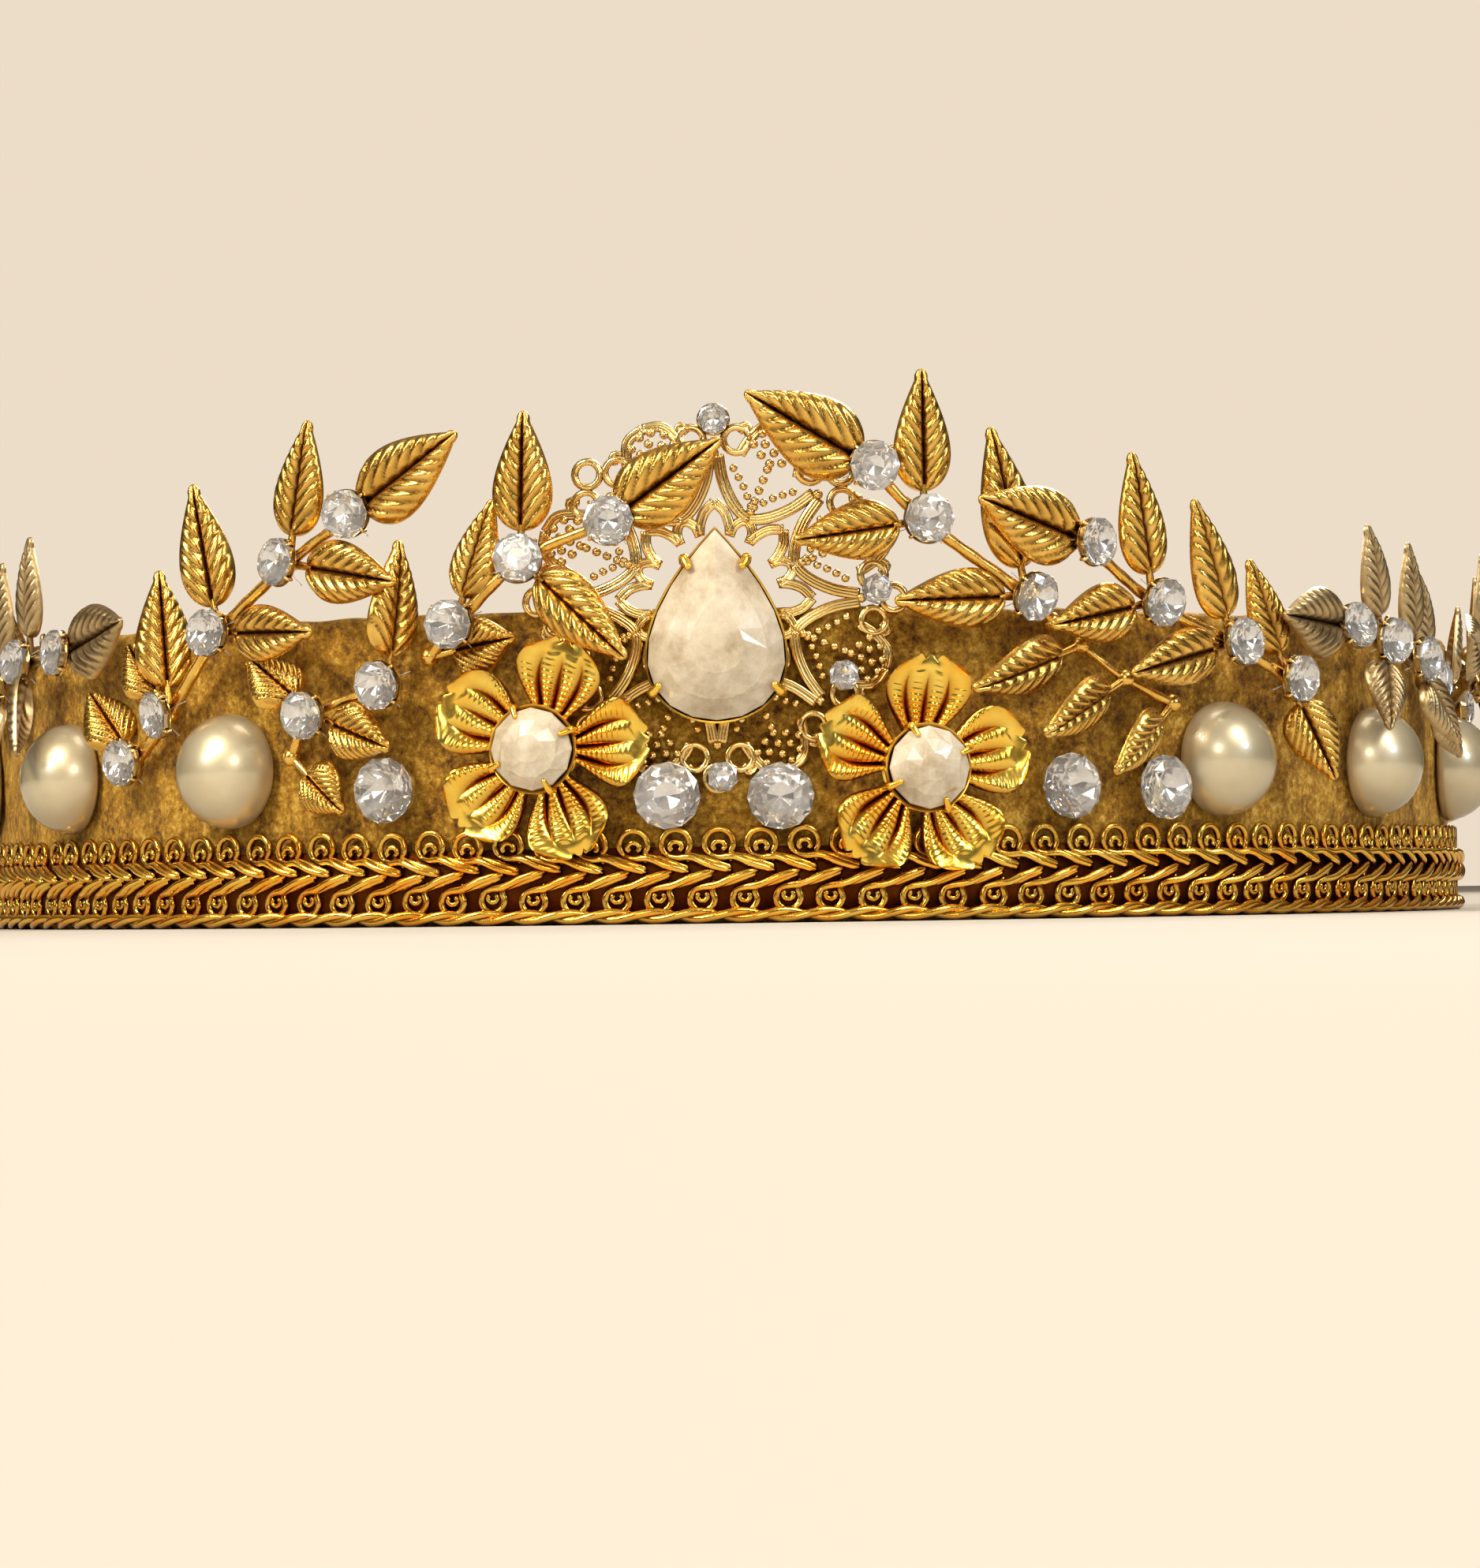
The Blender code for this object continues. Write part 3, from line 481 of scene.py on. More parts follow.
def ramp(tree, value, stops):
    """A colour ramp; stops are (position, (r, g, b))."""
    node = tree.nodes.new("ShaderNodeValToRGB")
    elements = node.color_ramp.elements
    while len(elements) < len(stops):
        elements.new(0.5)
    for element, (position, colour) in zip(elements, stops):
        element.position = position
        element.color = (*colour, 1)
    fill(tree, node, {"Fac": value})
    return node.outputs["Color"]


def span(tree, value, low, high):
    """Map a 0..1 value to low..high."""
    node = tree.nodes.new("ShaderNodeMapRange")
    fill(tree, node, {"Value": value, "To Min": low, "To Max": high})
    return node.outputs["Result"]


def arithmetic(tree, operation, *values):
    node = tree.nodes.new("ShaderNodeMath")
    node.operation = operation
    fill(tree, node, dict(enumerate(values)))
    return node.outputs["Value"]


def mix(tree, factor, low, high):
    """Mix two colours."""
    node = tree.nodes.new("ShaderNodeMix")
    node.data_type = "RGBA"
    fill(tree, node, {"Factor": factor, "A": low, "B": high})
    return node.outputs["Result"]


def bump(tree, value, strength, distance):
    node = tree.nodes.new("ShaderNodeBump")
    fill(tree, node, {"Height": value, "Strength": strength, "Distance": distance})
    return node.outputs["Normal"]


def openness(tree, reach):
    """1 in the open, 0 in crevices narrower than the reach, by ambient occlusion; the metals use it to paint
    shade into their colour.
    """
    node = tree.nodes.new("ShaderNodeAmbientOcclusion")
    node.samples = 6
    fill(tree, node, {"Distance": reach})
    return node.outputs["AO"]


def relief_height(tree):
    """The piece's own relief, from 0 in a crevice to 1 on a ridge; the metals use it to paint shade into
    their colour.
    """
    node = tree.nodes.new("ShaderNodeAttribute")
    node.attribute_name = "relief"
    return node.outputs["Fac"]


def metal(name, stops, roughness, grain, bump_strength, dark=None, reach=0.8 * MM, power=1.0):
    """A metal whose colour wanders between the stops, with shade painted into its hollows, and with fine
    surface grain.
    """
    material, tree, shader = new_material(name)
    colour = ramp(tree, noise(tree, 260, 5, 0.65), stops)
    # Painted shade: the colour goes towards the dark colour where the relief is low and where ambient
    # occlusion finds a crevice.
    if dark is not None:
        colour = mix(tree, arithmetic(tree, "POWER", relief_height(tree), power), (*dark, 1), colour)
        colour = mix(tree, openness(tree, reach), (*dark, 1), colour)
    fine = noise(tree, grain, 3, 0.5)
    fill(tree, shader, {
        "Base Color": colour,
        "Metallic": 1.0,
        "Roughness": span(tree, fine, *roughness),
        "Normal": bump(tree, fine, bump_strength, 0.05 * MM),
    })
    return material


# The dark colours given to the metals below are painted shade for their hollows.
def braid_gold():
    return metal("braid_gold", [(0.3, (1.0, 0.43, 0.03)), (0.6, (1.0, 0.67, 0.12))], (0.12, 0.28), 5200, 0.35,
                 dark=(0.15, 0.020, 0.001), reach=0.9 * MM, power=0.75)


def braid_tape_shade():
    """The tape under the braid, seen only in its crevices; its near-black colour is painted shade for those
    crevices.
    """
    stops = [(0.3, (0.05, 0.010, 0.001)), (0.7, (0.16, 0.045, 0.005))]
    return metal("braid_tape_shade", stops, (0.5, 0.7), 3200, 0.8)


def leaf_gold():
    stops = [(0.30, (0.60, 0.35, 0.07)), (0.5, (0.86, 0.52, 0.11)), (0.70, (0.98, 0.66, 0.18))]
    return metal("leaf_gold", stops, (0.17, 0.34), 3600, 0.3, dark=(0.10, 0.028, 0.004), power=0.8)


def shaded_leaf_gold():
    """A darker, greyer copy of the leaf gold: painted shade for the leaves round the sides and the back."""
    stops = [(0.30, (0.34, 0.24, 0.12)), (0.5, (0.54, 0.40, 0.20)), (0.70, (0.74, 0.57, 0.32))]
    return metal("shaded_leaf_gold", stops, (0.28, 0.46), 3600, 0.3, dark=(0.07, 0.026, 0.006), power=0.8)


def flower_gold():
    stops = [(0.3, (1.0, 0.55, 0.05)), (0.65, (1.0, 0.75, 0.15))]
    return metal("flower_gold", stops, (0.16, 0.30), 1800, 0.15, dark=(0.30, 0.070, 0.004), reach=1.0 * MM)


def filigree_brass():
    stops = [(0.3, (0.90, 0.56, 0.16)), (0.7, (1.0, 0.78, 0.34))]
    return metal("filigree_brass", stops, (0.14, 0.28), 3000, 0.25, dark=(0.07, 0.018, 0.003), reach=0.9 * MM)


def foil():
    """The silvery foil behind a stone."""
    return metal("foil", [(0.35, (0.80, 0.78, 0.75)), (0.65, (0.98, 0.97, 0.95))], (0.07, 0.20), 1500, 0.1)


def wire_steel():
    return metal("wire_steel", [(0.3, (0.40, 0.40, 0.41)), (0.7, (0.62, 0.62, 0.62))], (0.3, 0.5), 1500, 0.2)


def cover_cloth():
    """Mottled antique-gold cloth with a fine crushed surface."""
    material, tree, shader = new_material("cover_cloth")
    blotches = noise(tree, 300, 6, 0.7)
    grains = noise(tree, 1500, 6, 0.78)
    blend = arithmetic(tree, "MULTIPLY_ADD", span(tree, grains, -0.55, 0.55), 1.15, blotches)
    fill(tree, shader, {
        "Base Color": ramp(tree, blend, [(0.27, (0.080, 0.024, 0.002)), (0.43, (0.34, 0.160, 0.014)),
                                         (0.57, (0.58, 0.31, 0.022)), (0.76, (0.95, 0.65, 0.15))]),
        "Roughness": span(tree, grains, 0.35, 0.7),
        "Metallic": 0.5,
        "Sheen Weight": 0.25,
        "Sheen Roughness": 0.4,
        "Sheen Tint": (1.0, 0.68, 0.22, 1),
        "Normal": bump(tree, grains, 1.0, 0.42 * MM),
    })
    return material


def woven(name, stops, threads_per_metre, relief):
    """A plain weave from two crossed waves."""
    material, tree, shader = new_material(name)
    waves = []
    for direction in ("X", "Z"):
        wave = tree.nodes.new("ShaderNodeTexWave")
        wave.wave_type = "BANDS"
        wave.bands_direction = direction
        fill(tree, wave, {"Vector": object_place(tree), "Scale": threads_per_metre / 20, "Distortion": 0.6})
        waves.append(wave.outputs["Fac"])
    fill(tree, shader, {
        "Base Color": ramp(tree, noise(tree, 240, 5, 0.6), stops),
        "Roughness": 0.85,
        "Sheen Weight": 0.2,
        "Normal": bump(tree, arithmetic(tree, "MULTIPLY", *waves), 0.7, relief),
    })
    return material


def lining_weave():
    return woven("lining_cloth", [(0.3, (0.13, 0.085, 0.035)), (0.7, (0.24, 0.165, 0.075))], 1800, 0.1 * MM)


def buckram():
    return woven("buckram", [(0.3, (0.50, 0.46, 0.36)), (0.7, (0.66, 0.62, 0.52))], 900, 0.2 * MM)


def ivory():
    """Milky, slightly cloudy ivory resin."""
    material, tree, shader = new_material("ivory_stone")
    clouds = noise(tree, 260, 8, 0.68)
    fill(tree, shader, {
        "Base Color": ramp(tree, clouds, [(0.34, (0.44, 0.35, 0.23)), (0.50, (0.62, 0.54, 0.41)),
                                          (0.68, (0.78, 0.71, 0.59))]),
        "Subsurface Weight": 0.35,
        "Subsurface Radius": (1.0, 0.85, 0.65),
        "Subsurface Scale": 1.2 * MM,
        "Coat Weight": 0.7,
        "Coat Roughness": 0.06,
        "Roughness": span(tree, clouds, 0.12, 0.3),
    })
    return material


def crystal():
    """Clear lead glass."""
    material, tree, shader = new_material("clear_crystal")
    fill(tree, shader, {
        "Base Color": (0.97, 0.98, 1.0, 1),
        "Transmission Weight": 0.93,
        "IOR": 1.56,
        "Roughness": span(tree, noise(tree, 900, 2, 0.5), 0.0, 0.05),
    })
    return material


def pearl_lustre():
    """Cream pearl: warm body, faint clouding, shade painted towards its rim, and a soft clear coat."""
    material, tree, shader = new_material("pearl")
    clouds = noise(tree, 150, 4, 0.55)
    body = ramp(tree, clouds, [(0.3, (0.60, 0.52, 0.34)), (0.7, (0.76, 0.68, 0.48))])
    # Painted shade: the layer weight's facing darkens the body colour towards the pearl's rim.
    facing = tree.nodes.new("ShaderNodeLayerWeight")
    fill(tree, facing, {"Blend": 0.35})
    fill(tree, shader, {
        "Base Color": mix(tree, facing.outputs["Facing"], body, (0.30, 0.25, 0.15, 1)),
        "Metallic": 0.5,
        "Coat Weight": 1.0,
        "Coat Roughness": 0.09,
        "Roughness": span(tree, clouds, 0.30, 0.40),
    })
    return material


def nylon():
    """Clear nylon thread."""
    material, tree, shader = new_material("nylon")
    fill(tree, shader, {
        "Base Color": (0.85, 0.87, 0.9, 1),
        "Transmission Weight": 0.6,
        "Roughness": span(tree, noise(tree, 600, 2, 0.5), 0.1, 0.25),
    })
    return material


def make_materials():
    return {
        "cloth": cover_cloth(),
        "lining": lining_weave(),
        "buckram": buckram(),
        "steel": wire_steel(),
        "braid": braid_gold(),
        "ground": braid_tape_shade(),
        "leaf": leaf_gold(),
        "dull_leaf": shaded_leaf_gold(),
        "flower": flower_gold(),
        "brass": filigree_brass(),
        "ivory": ivory(),
        "crystal": crystal(),
        "foil": foil(),
        "pearl": pearl_lustre(),
        "nylon": nylon(),
    }


# ---------------------------------------------------------------- the band

def ripple(turns, heights, waves, size, seed):
    """A smooth random surface, periodic round the ring; waves is the number of waves round it."""
    draw = np.random.default_rng(seed)
    total = np.zeros(np.broadcast(turns, heights).shape)
    terms = 14
    for _ in range(terms):
        around = int(draw.integers(waves // 2, waves * 3 // 2))
        upward = draw.uniform(-1, 1) * waves / MEAN_RADIUS
        phase = draw.uniform(0, math.tau)
        total = total + np.sin(around * turns + upward * heights + phase)
    return size * total / math.sqrt(terms)


def cover_profile():
    """The cloth's outline as (offset, height): up the outer face, over the top and down behind."""
    edge = 0.9
    lip = 0.8
    back = 0.1
    shoulder = COVER_OUTER - edge
    corner = np.linspace(0, math.pi / 2, 5)
    profile = [(back, lip), (back, 0)]
    profile += [(offset, 0) for offset in np.linspace(0.5, shoulder, 3)]
    profile += [(shoulder + edge * math.sin(t), edge - edge * math.cos(t)) for t in corner[1:]]
    profile += [(COVER_OUTER, height) for height in np.linspace(edge, BAND_HEIGHT - edge, 44)[1:-1]]
    profile += [(shoulder + edge * math.cos(t), BAND_HEIGHT - edge + edge * math.sin(t)) for t in corner]
    profile += [(offset, BAND_HEIGHT) for offset in np.linspace(shoulder, back, 4)[1:]]
    profile += [(back, BAND_HEIGHT - lip)]
    behind = [(1.2, BAND_HEIGHT - lip), (2.2, BAND_HEIGHT - 2 * lip), (2.2, 2 * lip), (1.2, lip)]
    in_front = np.arange(len(profile + behind)) < len(profile)
    return np.array(profile + behind).T, in_front


def make_cover(mats):
    """The cloth cover: an outer wall that turns in over both edges of the band."""
    (offsets, heights), in_front = cover_profile()
    turns = ring_turns(1080)
    swell = ripple(turns, heights, 70, 0.10, 3) + ripple(turns, heights, 260, 0.04, 4)
    outer = (offsets > COVER_OUTER / 2) & in_front
    swell_near_floor = np.minimum(1, heights / 2)
    top_rise = (heights > BAND_HEIGHT - 0.9) * ripple(turns, 0, 60, 0.12, 5)
    form = swept_ring(turns, heights + top_rise, offsets + outer * swell * swell_near_floor)
    cover = Shape(*form).make("cover_cloth", mats["cloth"], "cover_cloth", replaces=["band_cover"])


def make_stitches(mats):
    """Slanting whip stitches along both edges of the lining."""
    stitches = Shape()
    for edge_height, inward in ((BAND_HEIGHT, -1), (0.25, 1)):
        for arc in STITCH_SPACING * np.arange(int(PERIMETER / STITCH_SPACING)):
            path = [(arc, edge_height + 1.9 * inward, -0.02), (arc + 0.35, edge_height + inward, -0.08),
                    (arc + 0.7, edge_height + 0.25 * inward, 0.1)]
            stitches.add(*tube(bend_round(smooth_path(path, 0.4)), 0.12, 5, (1, 0.3, 0.2)))
    return stitches.make("lining_stitches", mats["lining"], "lining_cloth")


def make_lining(mats):
    """The lining, with slight puckers on its open face."""
    low = LINING_MARGIN
    high = BAND_HEIGHT - LINING_MARGIN
    heights = np.concatenate([np.linspace(low, high, 16), np.linspace(high, low, 3)])
    offsets = np.repeat([0.05, LINING_THICKNESS], [16, 3])
    turns = ring_turns(720)
    pucker = np.abs(ripple(turns, heights, 110, 0.06, 6)) * (offsets < LINING_THICKNESS)
    corners, quads = swept_ring(turns, heights, offsets + pucker)
    lining = Shape(corners, quads[:, ::-1]).make("lining_cloth", mats["lining"], "lining_cloth",
                                                 replaces=["band_lining"])
    make_stitches(mats)


# ---------------------------------------------------------------- the braid

def braid_path(points, shift, step):
    """A cord of the braid through (along, height, rise over the band) points."""
    return smooth_path(np.array(points) + [shift, 0, ON_BAND], step)


def scroll_path(loop_height, loop_radius, shift, sign):
    """One scroll of the gimp: round its loop, then slanting along to the centre line."""
    turns = np.radians(np.linspace(-35, 232, 15))
    away = sign * abs(loop_height - CENTRE_LINE)
    leg = [(1.05, loop_height - 1.8 * sign, 0.3)]
    loop = [(loop_radius * math.cos(t), loop_height + sign * loop_radius * math.sin(t), 0.45) for t in turns]
    slant = [(0.05, loop_height - 0.98 * sign * loop_radius, 0.75)]
    slant += [(along, CENTRE_LINE + share * away, rise) for along, share, rise in
              ((1.4, 0.50, 1.15), (3.0, 0.24, 1.30), (4.5, 0.06, 1.05), (5.2, -0.02, 0.55))]
    return braid_path(leg + loop + slant, shift, 0.30)


def inner_arch(loop_height, loop_radius, shift, sign):
    """The short second cord inside each loop."""
    turns = np.radians(np.linspace(-50, 230, 9))
    radius = 0.42 * loop_radius
    middle = loop_height - 0.2 * sign * loop_radius
    arch = [(radius * math.cos(t), middle + 0.85 * sign * radius * math.sin(t), 0.5) for t in turns]
    return braid_path(arch, shift, 0.25)


def second_slant(shift, sign):
    """The partner cord that lies beside each slanting strand."""
    rows = ((0, 1.56, 0.5), (1.5, 1.24, 0.85), (3.0, 0.72, 1.0), (4.3, 0.28, 0.75))
    return braid_path([(along, CENTRE_LINE + sign * away, rise) for along, away, rise in rows], shift, 0.35)


def make_scrolls(mats):
    """The gimp braid in four lengths."""
    unit = [
        (scroll_path(*UPPER_LOOP, 0, 1), CORD, 8),
        (scroll_path(*LOWER_LOOP, LOWER_SHIFT, -1), 1.1 * CORD, 8),
        (inner_arch(*UPPER_LOOP, 0, 1), 0.95 * CORD, 6),
        (inner_arch(*LOWER_LOOP, LOWER_SHIFT, -1), 0.85 * CORD, 6),
        (second_slant(0.9, 1), CORD, 6),
        (second_slant(-0.9, -1), 1.15 * CORD, 6),
    ]
    units = BRAID_UNITS // BRAID_LENGTHS
    for part in range(BRAID_LENGTHS):
        shape = Shape()
        for k in range(part * units, (part + 1) * units):
            wobble = RANDOM.normal(0, 0.06, 3)
            for path, radius, sides in unit:
                corners, quads, triangles = tube(path + wobble, radius, sides)
                corners[:, 0] += k * PITCH
                # Painted shade mask: cords lower over the band get a lower relief, and so darker gold.
                relief = np.clip((corners[:, 2] - ON_BAND) / BRAID_RELIEF_DEPTH, 0, 1)
                shape.add(bend_round(corners), quads, triangles, relief=relief)
        replaced = ["braid_trim"] if part == 0 else []
        shape.make(f"braid_scrolls_{part + 1}", mats["braid"], "gold_braid", replaces=replaced)


def make_braid_tape(mats):
    """The backing tape, seen between the cords; its near-black material is painted shade."""
    profile = [(1.2, -0.1), (1.3, 0.25), (CENTRE_LINE, 0.55), (7.2, 0.25), (7.3, -0.1)]
    heights, rises = np.array(profile).T
    form = swept_ring(ring_turns(720), heights, ON_BAND + rises)
    Shape(*form).make("braid_tape", mats["ground"], "gold_braid")


def make_edge_cord(mats):
    """Two plies under the braid; they twist once round each other in two braid units."""
    plies = Shape()
    samples = BRAID_UNITS * 12
    arcs = PERIMETER * np.arange(samples) / samples
    for start in (0, math.pi):
        twist = math.pi * arcs / PITCH + start
        heights = 0.82 + 0.36 * np.sin(twist)
        path = band_positions(turn_at(arcs), heights, ON_BAND + 0.85 + 0.36 * np.cos(twist))
        plies.add(*closed_tube(path, 0.42, 8))
    plies.make("edge_cord_twist", mats["braid"], "gold_braid", replaces=["edge_cord"])


# ---------------------------------------------------------------- the filigree

def polar(radius, degrees, height=0.0):
    """A point on the plate from a radius and degrees clockwise from up."""
    turn = math.radians(degrees)
    return (radius * math.sin(turn), radius * math.cos(turn), height)


def radial(points, axis, way=1):
    """A half outline placed about an axis; way is -1 for its mirror image."""
    return [polar(radius, axis + way * degrees) for radius, degrees in points]


def double_line(shape, points, apart, radius, step=0.35):
    """Two wires side by side along a path, as a stamped line with a groove down its middle."""
    path = smooth_path(points, step) + [0, 0, 0.35]
    ahead = np.gradient(path, axis=0)
    side = np.stack([-ahead[:, 1], ahead[:, 0], np.zeros(len(path))], axis=-1)
    side /= np.linalg.norm(side, axis=1)[:, None]
    for way in (-0.5, 0.5):
        shape.add(*tube(path + way * apart * side, radius, 7))
    shape.add(*tube(path - [0, 0, 0.12], 0.8 * apart, 6))


def eyelet(centre, radius, wire, height):
    """A round ring of wire."""
    turns = math.tau * np.arange(20) / 20
    path = np.stack([centre[0] + radius * np.cos(turns), centre[1] + radius * np.sin(turns),
                     np.full(20, height)], axis=-1)
    return closed_tube(path, wire, 7)


def bead_line(shape, points, radius, height):
    """Small granules in a row, touching."""
    path = smooth_path(points, 0.1)
    lengths = np.concatenate([[0], np.cumsum(np.linalg.norm(np.diff(path, axis=0), axis=1))])
    count = max(2, int(lengths[-1] / (1.75 * radius)))
    for reach in np.linspace(0, lengths[-1], count):
        x = np.interp(reach, lengths, path[:, 0])
        y = np.interp(reach, lengths, path[:, 1])
        shape.add(*ball((x, y, height), radius, 5, 7))


def plate_sector(wires, grains, axis):
    """One sector of the plate: a trefoil on its axis and the lobe that follows clockwise."""
    lobe = axis + 180 / PLATE_SECTORS
    for radius, degrees in EYELETS:
        wires.add(*eyelet(polar(radius, axis + degrees), 1.22, 0.36, 0.40))
    for way in (-1, 1):
        double_line(wires, radial(ARM, lobe, way), 0.54, 0.31)
        double_line(wires, radial(PETAL, axis, way), 0.48, 0.28)
        double_line(wires, radial(CAP, lobe, way), 0.50, 0.29)
        double_line(wires, radial(SCROLL, lobe, way), 0.40, 0.25)
        bead_line(grains, radial(FERN, lobe, way), 0.42, 0.46)
    double_line(wires, radial(ARC, lobe), 0.46, 0.27, step=0.2)
    wires.add(*ball(polar(13.9, axis, 0.4), 0.5))
    bead_line(grains, radial(SPINE, lobe), 0.46, 0.50)
    for radius, degrees in GRANULES:
        grains.add(*ball(polar(radius, lobe + degrees, 0.45), 0.46, 7, 10))


def make_filigree(mats):
    wires = Shape()
    grains = Shape()
    for sector in range(PLATE_SECTORS):
        plate_sector(wires, grains, sector * 360 / PLATE_SECTORS)
    wires.add(*lathe([(0, 0.1), (4.2, 0.1), (4.3, 0.3), (4.2, 0.5), (0, 0.5)], 48))
    for shape in (wires, grains):
        shape.corners = [bend_round(points + [0, PLATE_HEIGHT, ON_BAND]) for points in shape.corners]
    wires.make("filigree_wirework", mats["brass"], "pale_brass", replaces=["filigree_plate"])
    grains.make("filigree_granules", mats["brass"], "pale_brass")


# ---------------------------------------------------------------- the pear stone

def pear_outline(turns):
    """The pear's outline, point up, at clockwise turns from its point."""
    return PEAR_WIDTH_FACTOR * np.sin(turns) * np.abs(np.sin(turns / 2)), PEAR_HALF_LENGTH * np.cos(turns)


def pear_ring(count, scale, height, grown=0.0, shift=0.0):
    """Points on the pear's outline, grown outwards or shrunk by scale about its heavy end."""
    x, y = pear_outline(math.tau * (np.arange(count) + shift) / count)
    growth = 1 + grown / np.hypot(x, y)
    x = x * growth * scale
    y = (y * growth - PEAR_HEAVY_END) * scale + PEAR_HEAVY_END
    return np.stack([x, y, np.full(count, height)], axis=-1)


def make_pear_stone(mats, place):
    girdle = 1.3
    levels = ((0.96, 0, 0), (1.0, 0.5, 0), (1.0, 0.9, 0), (0.74, 2.5, 0.5), (0.40, 3.5, 0))
    rings = [pear_ring(22, scale, girdle + rise, shift=shift) for scale, rise, shift in levels]
    stone = Shape(*stacked_rings(rings, (0, 0, girdle), (0, PEAR_HEAVY_END, girdle + 3.85)))
    stone.transform(place).make("pear_stone_cut", mats["ivory"], "ivory_stone", smooth=False,
                                replaces=["pear_stone"])


def make_pear_setting(mats, place):
    """A cup round the stone's edge and its four claws."""
    levels = ((0.0, -0.5), (1.2, 0.0), (1.75, 0.32), (1.95, 0.28), (1.9, 0.1), (1.0, -0.1))
    wall = [pear_ring(72, 1, rise, grown) for rise, grown in levels]
    setting = Shape(*stacked_rings(wall, (0, 0, 0), (0, 0, 1.0)))
    for degrees in PEAR_CLAWS:
        edge = np.array([*pear_outline(math.radians(degrees)), 0])
        inward = -edge / np.linalg.norm(edge)
        foot = edge - 0.35 * inward + [0, 0, 0.9]
        top = foot - 0.1 * inward + [0, 0, 1.7]
        tip = top + 0.8 * inward + [0, 0, 0.6]
        setting.join(claw(foot, top, tip, 0.50))
    setting.transform(place).make("pear_setting_cup", mats["flower"], "pale_brass",
                                  replaces=["pear_setting"], angle=50)


def make_pear(mats):
    place = band_frame(0, PEAR_HEIGHT, ON_PLATE)
    make_pear_stone(mats, place)
    make_pear_setting(mats, place)


# ---------------------------------------------------------------- the flowers

def petal_grid(rows, columns):
    """Front of a petal along +Y, and its relief: a narrow foot, long flutes and a cupped, scalloped end."""
    along = np.linspace(0, 1, rows)[:, None]
    across = np.linspace(-1, 1, columns)[None, :]
    widest = 0.66
    opening = np.sin(math.pi / 2 * np.clip(along / widest, 0, 1)) ** 1.5
    closing = np.sqrt(1 - (np.clip(along - widest, 0, 1) / 0.37) ** 2)
    scallops = 0.50 * np.abs(np.cos(1.5 * math.pi * across)) * along ** 5
    x = (1.3 + 2.9 * opening) * closing * across
    y = PETAL_FOOT + (PETAL_END - PETAL_FOOT) * along + scallops
    cup = 0.3 + 1.9 * along ** 1.5 - 0.5 * np.clip((along - 0.8) / 0.2, 0, 1) ** 2
    cup = cup + 0.9 * np.abs(across) ** 3 * np.clip(along * 1.6, 0, 1)
    flutes = np.abs(np.sin(2 * math.pi * (across + 1))) ** 0.7
    window = np.clip(along / 0.10, 0, 1) * np.clip((0.86 - along) / 0.40, 0, 1) ** 0.7
    rope = np.sin(math.tau * (15 * along + 0.6 * across)) * np.clip((flutes - 0.5) / 0.3, 0, 1)
    z = cup + window * (0.75 * (flutes - 0.35) + 0.05 * rope)
    # The relief returned is the mask for the shade painted into the valleys between the flutes.
    return np.stack([x, y, z], axis=-1), 1 - window * (1 - flutes) ** 0.8


def make_petals(mats, side, place):
    sheet = Shape()
    for k in range(PETALS):
        front, relief = petal_grid(92, 61)
        front[..., 2] += RANDOM.normal(0, 0.25) * (front[..., 1] / 10) ** 2
        turn = FIRST_PETALS[side] - 90 + 360 / PETALS * k + RANDOM.normal(0, 2)
        petal = thin_sheet(front, PETAL_THICKNESS, relief)
        sheet.join(petal.transform(Matrix.Rotation(math.radians(turn), 4, "Z")))
    sheet.add(*lathe([(0, 0), (3.4, 0), (3.5, 0.3), (3.2, 0.6), (0, 0.6)], 40))
    sheet.transform(place).make(f"flower_petals_{side}", mats["flower"], "bright_gold",
                                replaces=[f"flower_{side}"], angle=60)


def make_flower_cup(mats, side, place):
    profile = [(0, 0), (2.6, 0), (2.7, 1.0), (3.9, 2.0), (4.3, 2.9), (4.25, 3.15), (4.05, 3.1), (3.6, 2.3),
               (0, 2.3)]
    cup = Shape(*lathe(profile, 56))
    for degrees in (24, 114, 204, 294):
        turn = math.radians(degrees)
        outward = np.array([math.cos(turn), math.sin(turn), 0])
        foot = 4.2 * outward + [0, 0, 2.2]
        top = foot + 0.1 * outward + [0, 0, 1.4]
        tip = top - 0.95 * outward + [0, 0, 0.55]
        cup.join(claw(foot, top, tip, 0.34))
    cup.transform(place).make(f"flower_cup_{side}", mats["flower"], "pale_brass",
                              replaces=[f"flower_setting_{side}"], angle=50)


def make_flower_stone(mats, side, place):
    levels = ((3.8, 0, 0), (3.95, 0.45, 0), (3.9, 0.75, 0), (2.75, 1.65, 0.5), (1.35, 2.15, 0))
    stone = Shape(*stacked_rings(facet_rings(1, 12, levels), (0, 0, 0), (0, 0, 2.3)))
    stone.transform(place @ Matrix.Translation((0, 0, 2.9)))
    stone.make(f"flower_stone_cut_{side}", mats["ivory"], "ivory_stone", smooth=False,
               replaces=[f"flower_stone_{side}"])


def make_flower(mats, side):
    angle, height = node_place(f"flower_stone_{side}")
    make_petals(mats, side, band_frame(angle, height, ON_PLATE))
    on_petals = band_frame(angle, height, ON_PLATE + 0.8)
    make_flower_cup(mats, side, on_petals)
    make_flower_stone(mats, side, on_petals)


# ---------------------------------------------------------------- clear stones and pearls

def brilliant(radius, facets):
    """A brilliant: a shallow pavilion, the girdle, kite and star facets and the table."""
    levels = ((0.40, 0.16, 0.5), (0.99, 0.40, 0), (1.0, 0.46, 0), (0.84, 0.64, 0.5), (0.60, 0.76, 0))
    rings = facet_rings(radius, facets, levels)
    return Shape(*stacked_rings(rings, (0, 0, 0.04 * radius), (0, 0, 0.76 * radius)))


